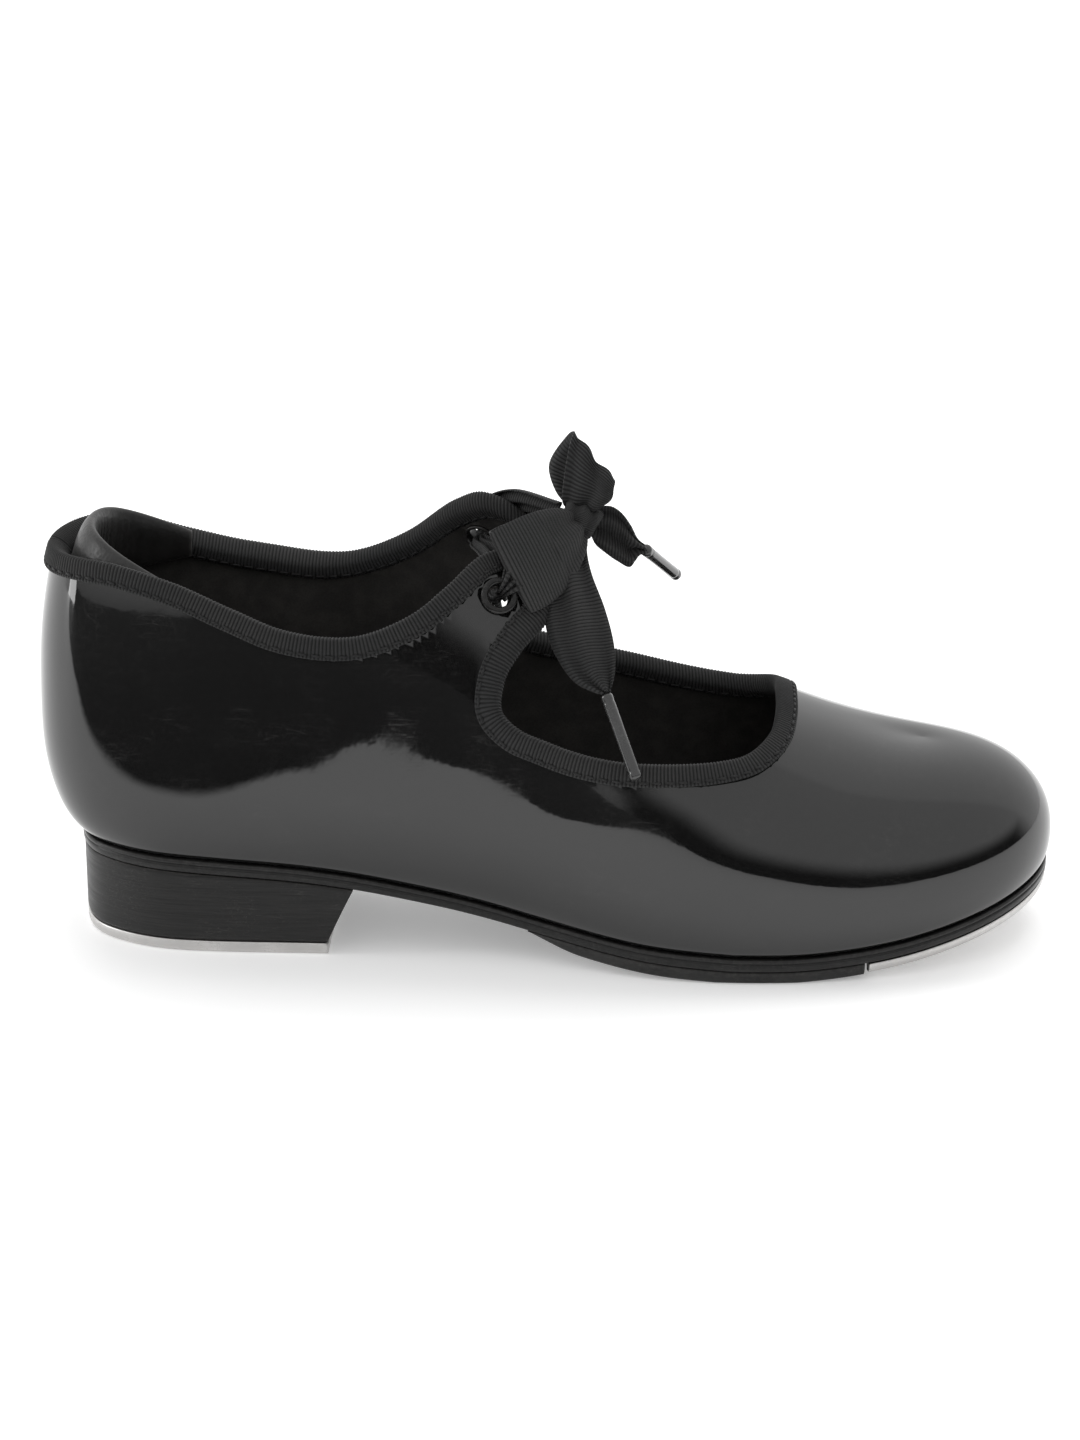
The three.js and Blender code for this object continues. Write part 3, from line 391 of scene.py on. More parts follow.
materials = {
    "patent": patentLeather("patentLeather"),
    "lining": grainedLeather("liningCloth", 0.017, 0.1, 0.8, size=0.5, depth=0.08),
    "collar": grainedLeather("collarLeather", 0.012, 0.03, 0.42, size=0.9, depth=0.14, sheen=0.05),
    "sock": grainedLeather("sockCloth", 0.012, 0.1, 0.7, size=0.7, depth=0.1),
    "ribbon": ribbedCloth("grosgrainRibbon", 0.034, 0.8),
    "binding": ribbedCloth("grosgrainBinding", 0.028, 0.8),
    "thread": ribbedCloth("sewingThread", 0.016, 0.35, depth=0.05, thread=0.2),
    "sole": rubberFinish("soleEdge", 0.004, 0.34),
    "pad": rubberFinish("padRubber", 0.014, 0.6, size=0.9),
    "stack": stackedLeather("stackedHeel"),
    "tap": brushedMetal("tapAluminium", 0.55, 0.02, 0.36),
    "screw": brushedMetal("screwSteel", 0.5, 0.0, 0.28, spacing=0.15),
    "eyelet": rubberFinish("eyeletEnamel", 0.004, 0.12, size=2.0),
    "tip": clearTip("ribbonTip"),
    "stiff": fibreBoard("stiffenerFibre", 0.25, 0.12, 0.8),
    "board": fibreBoard("insoleBoard", 0.18, 0.25, 0.6),
    "cork": fibreBoard("corkFiller", 0.3, 0.35, 1.8),
    "steel": brushedMetal("springSteel", 0.42, 0.0, 0.35),
}
print("materials built:", len(materials))

lighting = {
    "floorSize": 7.0, "floorLevel": 0.9, "floorGlow": 0.3,
    "skyBright": 1.0, "skyDark": 0.01, "frontBright": 0.85,
    "frontLow": -0.16, "frontHigh": 0.09, "frontRamp": 0.28,
    # the next four settings place the floor's painted dark reflection
    "paintedReflectionEdge": 0.098, "paintedReflectionSpread": 2.5, "paintedReflectionReach": (-0.03, 0.1), "paintedReflectionPower": 3.2,
    "overhead": {"place": (0.15, 0.75, 1.6), "size": (1.8, 1.2), "power": 16, "aim": (0.08, 0, 0),
                 "mirrored": False},
    "left": {"place": (-1.3, -0.15, 0.45), "size": (0.3, 1.0), "power": 5, "aim": (0, 0, 0.05)},
}


def makeStage(values):
    size = values["floorSize"]
    corners = [(-size, -size, 0), (size, -size, 0), (size, size, 0), (-size, size, 0)]
    mesh = bpy.data.meshes.new("floor")
    mesh.from_pydata(corners, [], [(0, 1, 2, 3)])
    floor = bpy.data.objects.new("floor", mesh)
    bpy.context.scene.collection.objects.link(floor)
    material, tree, shader = newMaterial("paleFloor", Roughness=0.6, Specular_IOR_Level=0.2)
    cloud = addNode(tree, "ShaderNodeTexNoise", Vector=objectPlace(tree), Scale=0.004,
                    Detail=2.0).outputs["Fac"]
    level = values["floorLevel"]
    tone = mixColour(tree, cloud, grey(level * 0.985), grey(level))
    # painted reflection: to glossy rays only, the floor turns near black from a hand's width in front of the
    # shoe, so the shoe mirrors a painted dark band; camera rays still see the pale floor
    place = addNode(tree, "ShaderNodeSeparateXYZ", i0=addNode(tree, "ShaderNodeTexCoord").outputs["Object"])
    low, high = values["paintedReflectionReach"]
    share = remap(tree, place.outputs[0], low, high)
    spread = math2(tree, "MULTIPLY", math2(tree, "POWER", share, values["paintedReflectionPower"]), values["paintedReflectionSpread"])
    edge = math2(tree, "ADD", math2(tree, "ADD", place.outputs[1], values["paintedReflectionEdge"]), spread)
    # mask of the painted dark reflection: the floor in front of the shoe, set back further towards +x
    paintedDarkReflection = remap(tree, edge, -0.02, 0.0, 1, 0, smooth=True)
    mirrored = addNode(tree, "ShaderNodeLightPath").outputs["Is Glossy Ray"]
    # painted dark reflection: glossy rays see the floor near black there
    tone = mixColour(tree, math2(tree, "MULTIPLY", paintedDarkReflection, mirrored), tone, grey(0.004))
    tree.links.new(tone, shader.inputs["Base Color"])
    tree.links.new(tone, shader.inputs["Emission Color"])
    shader.inputs["Emission Strength"].default_value = values["floorGlow"]
    mesh.materials.append(material)


def makeSoftbox(name, values):
    data = bpy.data.lights.new(name, "AREA")
    data.shape = "RECTANGLE"
    data.size, data.size_y = values["size"]
    data.energy = values["power"]
    light = bpy.data.objects.new(name, data)
    light.location = values["place"]
    away = Vector(values["place"]) - Vector(values["aim"])
    light.rotation_euler = away.to_track_quat("Z", "Y").to_euler()
    light.visible_glossy = values.get("mirrored", True)
    bpy.context.scene.collection.objects.link(light)


def makeSky(values):
    # white behind and above the shoe, dark on the side that it faces, white to the lens
    world = bpy.data.worlds.new("studio")
    bpy.context.scene.world = world
    world.use_nodes = True
    tree = world.node_tree
    tree.nodes.clear()
    way = addNode(tree, "ShaderNodeTexCoord").outputs["Generated"]
    parts = addNode(tree, "ShaderNodeSeparateXYZ", i0=way)
    lean = math2(tree, "ADD", parts.outputs[1], math2(tree, "MULTIPLY", parts.outputs[2], 0.35))
    behind = remap(tree, lean, 0.06, 0.5, 0, values["skyBright"], smooth=True)
    # in front the light starts higher towards +x than towards the heel side
    start = remap(tree, parts.outputs[0], -0.24, -0.04, values["frontLow"], values["frontHigh"], smooth=True)
    rise = math2(tree, "SUBTRACT", parts.outputs[2], start)
    front = remap(tree, rise, 0, values["frontRamp"], values["skyDark"], values["frontBright"], smooth=True)
    level = math2(tree, "MAXIMUM", behind, front)
    seen = addNode(tree, "ShaderNodeLightPath").outputs["Is Camera Ray"]
    strength = math2(tree, "MAXIMUM", level, math2(tree, "MULTIPLY", seen, 1.0))
    back = addNode(tree, "ShaderNodeBackground", Strength=strength)
    back.inputs["Color"].default_value = (1, 1, 1, 1)
    out = tree.nodes.new("ShaderNodeOutputWorld")
    tree.links.new(back.outputs[0], out.inputs[0])


makeStage(lighting)
makeSky(lighting)
makeSoftbox("overheadSoftbox", lighting["overhead"])
makeSoftbox("leftSoftbox", lighting["left"])
print("stage lit")


def through(points):
    # cubic pieces through [station, value] points, with slopes averaged over the neighbours
    x, y = np.array(points, float).T
    low, high = np.maximum(np.arange(len(x)) - 1, 0), np.minimum(np.arange(len(x)) + 1, len(x) - 1)
    slope = (y[high] - y[low]) / (x[high] - x[low])

    def at(place):
        station = np.clip(place, x[0], x[-1])
        i = np.clip(np.searchsorted(x, station, side="right") - 1, 0, len(x) - 2)
        span = x[i + 1] - x[i]
        t = (station - x[i]) / span
        rise, start, end = y[i + 1] - y[i], slope[i] * span, slope[i + 1] * span
        return y[i] + start * t + (3 * rise - 2 * start - end) * t**2 + (start + end - 2 * rise) * t**3

    return at


last = {
    "length": 250.0, "heelRound": 20, "toeRound": 11, "girthShare": 0.25, "fullness": 2.25,
    "heelFan": (60, 30), "toeFan": (190, 28), "heelPitch": 18.8, "toeSpring": 11,
    "padThickness": 3.0, "outsoleThickness": 3.3, "clearance": 0.3, "upperThickness": 1.2,
    "liningThickness": 0.9, "coverGap": 0.45, "soleEdge": 1.2, "heelEdge": 0.9,
}
lateralHalf = through([[0, 30], [35, 31], [70, 31], [110, 33], [150, 41], [180, 43], [210, 42], [250, 39]])
medialHalf = through([[0, 30], [35, 30], [70, 29], [110, 28], [150, 34], [180, 39], [210, 40], [250, 38]])
centreLine = through([[0, 0], [150, 0], [180, 0.5], [210, 2.5], [235, 5], [250, 6.5]])
lateralTuck = through([[0, 10.5], [15, 7], [35, 4], [110, 5], [150, 3.5], [210, 3], [250, 2]])
medialTuck = through([[0, 10.5], [15, 7], [35, 4], [70, 5], [110, 8], [150, 5], [180, 3.5], [250, 2]])
girthHeight = through([[0, 27], [20, 27], [60, 25], [110, 20], [150, 14], [180, 11], [250, 7]])
instepHeight = through([[30, 102.5], [60, 104.5], [100, 98.5], [140, 77.8], [170, 57.8], [190, 48.1],
                        [220, 35]])
instepSide = through([[30, 0], [100, 0], [140, 2], [170, 4], [190, 6], [220, 7]])
heelRamp = through([[0, 1], [20, 0.98], [45, 0.925], [73, 0.8], [100, 0.55], [125, 0.287], [150, 0.085],
                    [172, 0]])
toeRamp = through([[172, 0], [190, 0.02], [210, 0.19], [230, 0.53], [250, 1]])


def soleUnder(x):
    rise = last["heelPitch"] * heelRamp(x) + last["toeSpring"] * toeRamp(x)
    return last["padThickness"] + last["clearance"] + rise


def soleTop(x):
    return soleUnder(x) + last["outsoleThickness"]


def feather(x):
    return soleTop(x) + last["clearance"]


def stationAt(u):
    return last["length"] * (1 - np.cos(np.pi * u)) / 2


def uAt(station):
    return np.arccos(np.clip(1 - 2 * np.asarray(station, float) / last["length"], -1, 1)) / np.pi


def outline(u, side):
    # the widest line: a half-width each side of a centre line, closed by rounded powers at both ends
    station = stationAt(u)
    share = station / last["length"]
    close = (1 - (1 - share) ** last["heelRound"]) * (1 - share ** last["toeRound"])
    half = np.where(side < 0, lateralHalf(station), medialHalf(station)) * np.sqrt(np.maximum(close, 0))
    return station, centreLine(station) + side * half


def outlineNormal(u, side):
    # the direction of travel between two near places, turned a quarter outward
    step = 1e-4
    x0, y0 = outline(np.maximum(u - step, 0), side)
    x1, y1 = outline(np.minimum(u + step, 1), side)
    length = np.maximum(np.hypot(x1 - x0, y1 - y0), 1e-12)
    nx, ny = -(y1 - y0) * side / length, (x1 - x0) * side / length
    atHeel, atToe = u < step, u > 1 - step
    return np.where(atHeel, -1, np.where(atToe, 1, nx)), np.where(atHeel | atToe, 0, ny)


def featherPoint(u, side, extend, height):
    # on the line where upper meets sole, moved out by extend and set at a height over the floor
    u, side, extend = np.broadcast_arrays(np.asarray(u, float), np.asarray(side, float), extend)
    station = stationAt(u)
    tuck = np.where(side < 0, lateralTuck(station), medialTuck(station))
    x, y = outline(u, side)
    nx, ny = outlineNormal(u, side)
    x, y = x + nx * (extend - tuck), y + ny * (extend - tuck)
    return np.stack([x, y, height(x) if callable(height) else np.broadcast_to(height, x.shape)], -1)


def ridgeStation(station):
    # ribs crowd together at both ends of the ridge, each by a falling exponential
    (heel, heelReach), (toe, toeReach) = last["heelFan"], last["toeFan"]
    back = heel - heelReach * (1 - np.exp(np.minimum(station - heel, 0) / heelReach))
    front = toe + toeReach * (1 - np.exp(np.minimum(toe - station, 0) / toeReach))
    return np.where(station < heel, back, np.where(station > toe, front, station))


def lastPoint(u, w, inset, sole=None):
    # a rib from feather line to ridge: a quarter round up to the widest line, then a full
    # ellipse from there to the ridge
    u, w, inset = np.broadcast_arrays(np.asarray(u, float), np.asarray(w, float), np.asarray(inset, float))
    sole = inset if sole is None else np.broadcast_to(sole, u.shape)
    side = np.where(w <= 1, -1.0, 1.0)
    share = np.where(w <= 1, w, 2 - w)
    station = stationAt(u)
    bodyX, bodyY = outline(u, side)
    nx, ny = outlineNormal(u, side)
    bodyX, bodyY = bodyX - nx * inset, bodyY - ny * inset
    foot = featherPoint(u, side, -inset, feather)
    girth = girthHeight(station)
    low = last["girthShare"]
    turn = np.clip(share / low, 0, 1) * np.pi / 2
    lowX = foot[..., 0] + (bodyX - foot[..., 0]) * np.sin(turn)
    lowY = foot[..., 1] + (bodyY - foot[..., 1]) * np.sin(turn)
    lowZ = foot[..., 2] + sole * np.clip(1 - share / low, 0, 1) + girth * (1 - np.cos(turn))
    turn = np.clip((share - low) / (1 - low), 0, 1) * np.pi / 2
    out = np.maximum(np.cos(turn), 0) ** (2 / last["fullness"])
    up = np.sin(turn) ** (2 / last["fullness"])
    ridgeX = ridgeStation(station)
    ridgeY, ridgeZ = instepSide(ridgeX), feather(ridgeX) + instepHeight(ridgeX) - inset
    widest = foot[..., 2] + girth
    high = np.stack([ridgeX + (bodyX - ridgeX) * out, ridgeY + (bodyY - ridgeY) * out,
                     widest + (ridgeZ - widest) * up], -1)
    return np.where((share <= low)[..., None], np.stack([lowX, lowY, lowZ], -1), high)


def lastFrame(u, w):
    # along the last, across it and straight out of it, by differences
    step = 1e-3
    low = np.maximum(u - step, 1e-3)
    alongU = (lastPoint(u + step, w, 0) - lastPoint(low, w, 0)) / (u + step - low)[..., None]
    acrossW = (lastPoint(u, w + step, 0) - lastPoint(u, w - step, 0)) / (2 * step)
    out = np.cross(alongU, acrossW)
    return alongU, acrossW, out / np.linalg.norm(out, axis=-1, keepdims=True)


def toFrame(points):
    return np.asarray(points, float) * mm + np.array([heelX, 0, 0])


def gridFaces(rows, columns, wrapRows=False, wrapColumns=False):
    # quads between neighbouring points of a grid, first index down the rows
    i = np.arange(rows if wrapRows else rows - 1)
    j = np.arange(columns if wrapColumns else columns - 1)
    a, b = np.meshgrid(i, j, indexing="ij")
    c, d = (a + 1) % rows, (b + 1) % columns
    return np.stack([a * columns + b, c * columns + b, c * columns + d, a * columns + d], -1).reshape(-1, 4)


def buildMesh(name, points, faces, material, uv=None, smooth=True, outward=None):
    # points in millimetres by station; doubles are merged, and a closed shape gets its faces turned outward
    points = np.asarray(points, float).reshape(-1, 3)
    mesh = bpy.data.meshes.new(name)
    mesh.from_pydata(toFrame(points), [], faces.tolist() if hasattr(faces, "tolist") else faces)
    if uv is not None:
        layer = mesh.uv_layers.new(name="UVMap")
        corner = np.zeros(len(mesh.loops), np.int32)
        mesh.loops.foreach_get("vertex_index", corner)
        layer.data.foreach_set("uv", np.asarray(uv, np.float32).reshape(-1, 2)[corner].ravel())
    work = bmesh.new()
    work.from_mesh(mesh)
    bmesh.ops.remove_doubles(work, verts=work.verts, dist=2e-6)
    bmesh.ops.dissolve_degenerate(work, dist=1e-7, edges=work.edges)
    if outward == "closed":
        bmesh.ops.recalc_face_normals(work, faces=work.faces)
    work.to_mesh(mesh)
    work.free()
    mesh.polygons.foreach_set("use_smooth", np.full(len(mesh.polygons), smooth))
    mesh.materials.append(material)
    obj = bpy.data.objects.new(name, mesh)
    bpy.context.scene.collection.objects.link(obj)
    return obj


def bakeModifiers(obj):
    # the modifiers' result becomes the mesh, and none is left live
    graph = bpy.context.evaluated_depsgraph_get()
    mesh = bpy.data.meshes.new_from_object(obj.evaluated_get(graph), depsgraph=graph)
    obj.modifiers.clear()
    obj.data = mesh
    return obj


def giveWall(obj, thickness, offset=-1.0):
    wall = obj.modifiers.new("wall", "SOLIDIFY")
    wall.thickness = thickness * mm
    wall.offset = offset
    return bakeModifiers(obj)


def settle(obj, body, slotName, *nodes, crossesBall=False):
    # rides on its body, or, where it crosses the ball of the foot, has its place baked into its mesh and
    # rides on no body
    if crossesBall:
        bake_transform(obj)
    else:
        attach(obj, body)
    if nodes:
        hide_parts(*nodes)
    return obj


lateralEdge = [
    [0, 52], [12, 53.2], [21.5, 53], [36.7, 50.6], [51, 47], [62, 44.8], [73.5, 44.9], [83, 47], [94.7, 53.5],
    [103.5, 62.5], [112, 75], [119, 82], [124.5, 82.5], [126.5, 77], [124, 69], [118.5, 59], [114.3, 50],
    [114.2, 44], [118.5, 42.4], [126, 43], [134.3, 44.4], [143.7, 47.2], [152, 51], [161.3, 56.3], [169,
                                                                                                    61.8],
    [175.5, 68], [180.8, 78.5], [182.4, 89],
]
medialEdge = [
    [0, 52], [12, 52], [21.5, 50.4], [33.6, 48], [48.5, 46.2], [67.9, 46.2], [77.6, 48.4], [90.3, 56],
    [102.4, 70.5], [110, 82], [116, 87.5], [121, 87], [122.5, 81], [119.5, 72], [114, 61], [110.5, 53],
    [111.8, 46.8], [118, 45.8], [127, 47.4], [142.1, 51], [160.2, 57.8], [170, 64], [177, 71.5], [181.6, 83],
]
throatFront = [182.6, 100]


def smoothCurve(points, perSpan):
    # centripetal Catmull-Rom through the points, the same number of steps in each span
    points = np.asarray(points, float)
    ends = np.vstack([2 * points[0] - points[1], points, 2 * points[-1] - points[-2]])
    p0, p1, p2, p3 = ends[:-3], ends[1:-2], ends[2:-1], ends[3:]
    gap = [np.maximum(np.linalg.norm(b - a, axis=1, keepdims=True) ** 0.5, 1e-4)
           for a, b in ((p0, p1), (p1, p2), (p2, p3))]
    m1 = ((p1 - p0) / gap[0] - (p2 - p0) / (gap[0] + gap[1]) + (p2 - p1) / gap[1]) * gap[1]
    m2 = ((p2 - p1) / gap[1] - (p3 - p1) / (gap[1] + gap[2]) + (p3 - p2) / gap[2]) * gap[1]
    t = (np.arange(perSpan) / perSpan)[None, :, None]
    a, b, s, e = p1[:, None], p2[:, None], m1[:, None], m2[:, None]
    body = a + s * t + (3 * (b - a) - 2 * s - e) * t**2 + (s + e - 2 * (b - a)) * t**3
    return np.vstack([body.reshape(-1, points.shape[1]), points[-1:]])


def spaceEvenly(points, count, closed=False):
    # fractional places along a polyline at equal lengths
    step = np.linalg.norm(np.diff(points, axis=0), axis=1)
    length = np.concatenate([[0], np.cumsum(step)])
    wanted = np.linspace(0, length[-1], count, endpoint=not closed)
    return np.interp(wanted, length, np.arange(len(points))), wanted, length[-1]


def edgeLoop(count):
    # the edge in (u, w), respaced evenly along its real length
    length = last["length"]
    near = [[length * uAt(s), -(100 - p)] for s, p in lateralEdge]
    front = [[length * uAt(throatFront[0]), 100 - throatFront[1]]]
    far = [[length * uAt(s), 100 - p] for s, p in medialEdge][::-1]
    chart = smoothCurve(np.array(near + front + far, float), 80)
    u, w = np.maximum(chart[:, 0] / length, 0), 1 + chart[:, 1] / 100
    place, along, total = spaceEvenly(lastPoint(u, w, 0), count, closed=True)
    index = np.arange(len(u))
    return np.interp(place, index, u), np.interp(place, index, w), along, total


def ringBlur(values, reach):
    # running average round a closed loop
    kernel = np.hanning(2 * reach + 3)[1:-1]
    kernel /= kernel.sum()
    padded = np.concatenate([values[-reach:], values, values[:reach]])
    return np.stack([np.convolve(padded[:, k], kernel, "valid") for k in range(values.shape[1])], 1)


def edgeDirections(u, w):
    # away from the opening on the last, as steps of u and w for one millimetre, and the 3-D directions
    safe = np.maximum(u, 0.004)
    alongU, acrossW, out = lastFrame(safe, w)
    out = np.where((u < 0.004)[:, None], out * [1, 0, 1], out)
    out = ringBlur(out, 9)
    out /= np.linalg.norm(out, axis=1, keepdims=True)
    place = lastPoint(u, w, 0)
    tangent = np.roll(place, -2, 0) - np.roll(place, 2, 0)
    tangent = ringBlur(tangent / np.linalg.norm(tangent, axis=1, keepdims=True), 9)
    tangent /= np.linalg.norm(tangent, axis=1, keepdims=True)
    away = np.cross(tangent, out)
    away /= np.linalg.norm(away, axis=1, keepdims=True)
    uu, uw, ww = (alongU**2).sum(1), (alongU * acrossW).sum(1), (acrossW**2).sum(1)
    du, dw = (away * alongU).sum(1), (away * acrossW).sum(1)
    determinant = uu * ww - uw * uw
    steps = np.stack([(du * ww - dw * uw) / determinant, (dw * uu - du * uw) / determinant], 1)
    return ringBlur(steps, 9), out, tangent, away


ribPitch = 0.8
edgeCount = 2600
edgeU, edgeW, edgeAlong, edgeTotal = edgeLoop(edgeCount)
edgeSteps, edgeOut, edgeTangent, edgeAway = edgeDirections(edgeU, edgeW)


def edgePoint(down, up, index=slice(None)):
    # a place beside the edge: down the last by one length and out of it by another
    u = np.maximum(edgeU[index] + down * edgeSteps[index, 0], 0)
    w = edgeW[index] + down * edgeSteps[index, 1]
    return lastPoint(u, w, -up, 0)


print("edge length", round(edgeTotal, 1), "mm")

cover = {"columns": 220, "lowRows": 22, "highRows": 58, "margin": (12.0, 9.0, 6.0, 4.0), "blur": 14,
         "edgeCut": 1.5, "eyeletCut": 3.2, "ripple": 0.09}
eyeletPlaces = {"lateral": (float(uAt(114.6)), 0.673), "medial": (float(uAt(107.9)), 2 - 0.667)}
stiffener = {"thickness": 1.2, "counterEnd": 53.6, "puffStart": 202.0}


def smoothStep(value, low, high):
    t = np.clip((value - low) / (high - low), 0, 1)
    return t * t * (3 - 2 * t)


def noPocket(station, share):
    return 0 * station * share


def stiffenerPocket(station, share):
    # the lining stands deeper where the counter and the toe puff lie behind it
    heel = (1 - smoothStep(station, stiffener["counterEnd"] + 6, stiffener["counterEnd"] + 20))
    heel = heel * (1 - smoothStep(share, 0.37, 0.43))
    toe = smoothStep(station, stiffener["puffStart"] - 12, stiffener["puffStart"] - 1)
    return (stiffener["thickness"] + last["coverGap"]) * np.maximum(heel, toe)


def insideLoop(px, py, lx, ly):
    # even-odd: how often a ray towards +x crosses the closed loop
    x0, y0, x1, y1 = lx, ly, np.roll(lx, -1), np.roll(ly, -1)
    px, py = px[:, None], py[:, None]
    crossing = (y0 > py) != (y1 > py)
    at = x0 + (py - y0) * (x1 - x0) / np.where(y1 == y0, 1e-9, y1 - y0)
    return (crossing & (px < at)).sum(1) % 2 == 1


def orient(points, faces, centres):
    # turns all faces over if they look towards the centres on the whole
    a, b, c, d = (points[faces[:, k]] for k in range(4))
    normal = np.cross(c - a, d - b)
    middle = (a + b + c + d) / 4
    return faces if (normal * (middle - centres(middle))).sum() > 0 else faces[:, ::-1]


def coverPiece(name, inset, thickness, pocket, material, ripple):
    # a grid of the last, from one folded margin over the ridge to the other, blurred along the ribs
    u = np.linspace(0, 1, cover["columns"] + 1)
    low = last["girthShare"]
    share = np.concatenate([np.linspace(0, low, cover["lowRows"], endpoint=False),
                            np.linspace(low, 1, cover["highRows"])])
    w = np.concatenate([share, 2 - share[-2::-1]])
    depth = inset + pocket(stationAt(u)[None], 1 - np.abs(1 - w[:, None]))
    body = lastPoint(u[None], w[:, None], depth, np.full(depth.shape, inset))
    for _ in range(cover["blur"]):
        body[2:-2] = (body[1:-3] + 2 * body[2:-2] + body[3:-1]) / 4
    if ripple:
        along, across = np.gradient(body, axis=1), np.gradient(body, axis=0)
        out = np.cross(along, across)
        out /= np.maximum(np.linalg.norm(out, axis=-1, keepdims=True), 1e-9)
        x, y, z = np.moveaxis(body, -1, 0)
        wave = np.sin(x / 9.1 + 1.3 * np.sin(z / 13)) * np.sin(z / 7.3 + y / 15)
        wave = wave + 0.6 * np.sin(x / 21 + z / 17 + 2)
        body = body + out * (wave * ripple * np.clip(1 - np.abs(1 - w) ** 6, 0, 1)[:, None])[..., None]
    fold = [featherPoint(u, -1, -d, lambda x: feather(x) + inset) for d in cover["margin"]]
    farFold = [featherPoint(u, 1, -d, lambda x: feather(x) + inset) for d in cover["margin"][::-1]]
    grid = np.concatenate([np.stack(fold), body, np.stack(farFold)])
    chartW = np.concatenate([np.full(len(fold), -0.05), w, np.full(len(fold), 2.05)])
    rows, columns = grid.shape[:2]
    points = grid.reshape(-1, 3)
    faces = gridFaces(rows, columns)
    chart = np.stack(np.broadcast_arrays(u[None] * last["length"], chartW[:, None] * 100), -1).reshape(-1, 2)
    middle = chart[faces].mean(1)
    # near the heel the step along the last fades out, and the loop closes beyond the end of the chart
    pick = slice(None, None, 8)
    sideways = edgeSteps[:, 0] * smoothStep(edgeU, 0.02, 0.08)
    loopU = np.maximum(edgeU + cover["edgeCut"] * sideways, 0)[pick] * last["length"]
    loopW = (edgeW + cover["edgeCut"] * edgeSteps[:, 1])[pick] * 100
    loopU = np.concatenate([[-5], loopU, [loopU[-1], -5]])
    loopW = np.concatenate([loopW[:1], loopW, [200 - loopW[0], 200 - loopW[0]]])
    gone = insideLoop(middle[:, 0], middle[:, 1], loopU, loopW)
    holes = []
    for eyeU, eyeW in eyeletPlaces.values():
        centre = lastPoint(eyeU, eyeW, inset)
        inHole = np.linalg.norm(points[faces].mean(1) - centre, axis=1) < cover["eyeletCut"]
        gone |= inHole
        holes.append((centre, faces[inHole].ravel()))
    kept, cutOff = np.zeros(len(points), bool), np.zeros(len(points), bool)
    kept[faces[~gone].ravel()] = True
    cutOff[faces[gone].ravel()] = True
    border = np.flatnonzero(kept & cutOff)
    for centre, used in holes:
        ring = np.intersect1d(border, used)
        ray = points[ring] - centre
        points[ring] = centre + ray * (cover["eyeletCut"] / np.linalg.norm(ray, axis=1, keepdims=True))
        border = np.setdiff1d(border, ring)
    rim = edgePoint(cover["edgeCut"], -inset)[::2]
    nearest = np.linalg.norm(points[border][:, None] - rim[None], axis=2).argmin(1)
    points[border] = rim[nearest]
    faces = faces[~gone]
    used, inverse = np.unique(faces, return_inverse=True)
    faces = inverse.reshape(-1, 4)
    faces = orient(points[used], faces, lambda m: m * [1, 0, 0] + [0, 0, 45])
    obj = buildMesh(name, points[used], faces, material, uv=chart[used])
    return giveWall(obj, thickness)


upper = coverPiece("patent_upper", 0.0, last["upperThickness"], noPocket, materials["patent"],
                   cover["ripple"])
settle(upper, "shoe", "patent_upper", "upper", crossesBall=True)
lining = coverPiece("cloth_lining", last["upperThickness"] + last["coverGap"], last["liningThickness"],
                    stiffenerPocket, materials["lining"], 0.0)
settle(lining, "shoe", "lining_cloth", "lining", crossesBall=True)
print("upper and lining built")

binding = {"leg": 4.1, "innerLeg": 2.7, "outerUp": 1.35, "innerUp": -4.65, "cloth": 0.9, "rib": 0.12,
           "thinning": 0.28}
stitch = {"count": 186, "down": 3.2, "length": 2.1, "radius": 0.3}


def bindingSection(values):
    # U round the edge: outer leg, half-ellipse fold, inner leg, and back along the inside of the cloth
    middle = (values["outerUp"] + values["innerUp"]) / 2
    high = values["outerUp"] - middle
    cloth = values["cloth"]
    turn = np.radians(np.linspace(90, -90, 9))
    outerFold = np.stack([-0.2 - 1.5 * np.cos(turn), middle + high * np.sin(turn)], 1)
    turn = np.radians(np.linspace(-90, 90, 5))
    innerFold = np.stack([-0.2 - 0.62 * np.cos(turn), middle + (high - cloth) * np.sin(turn)], 1)
    leg, inner = values["leg"], values["innerLeg"]
    up, low = values["outerUp"], values["innerUp"]
    section = np.vstack([
        [[leg, up - 0.7], [leg + 0.05, up - 0.3], [leg - 0.3, up + 0.02], [leg - 0.9, up - 0.3],
         [leg - 1.5, up + 0.08],
         [leg * 0.3, up + 0.06]],
        outerFold, [[inner * 0.5, low], [inner, low + 0.1], [inner, low + cloth]],
        innerFold, [[leg * 0.5, up - cloth]],
    ])
    ribbed = np.concatenate([[0.3, 0.8, 1, 0.7, 1, 1], np.ones(9), [1, 0.8, 0.2], np.zeros(6)])
    return section, ribbed


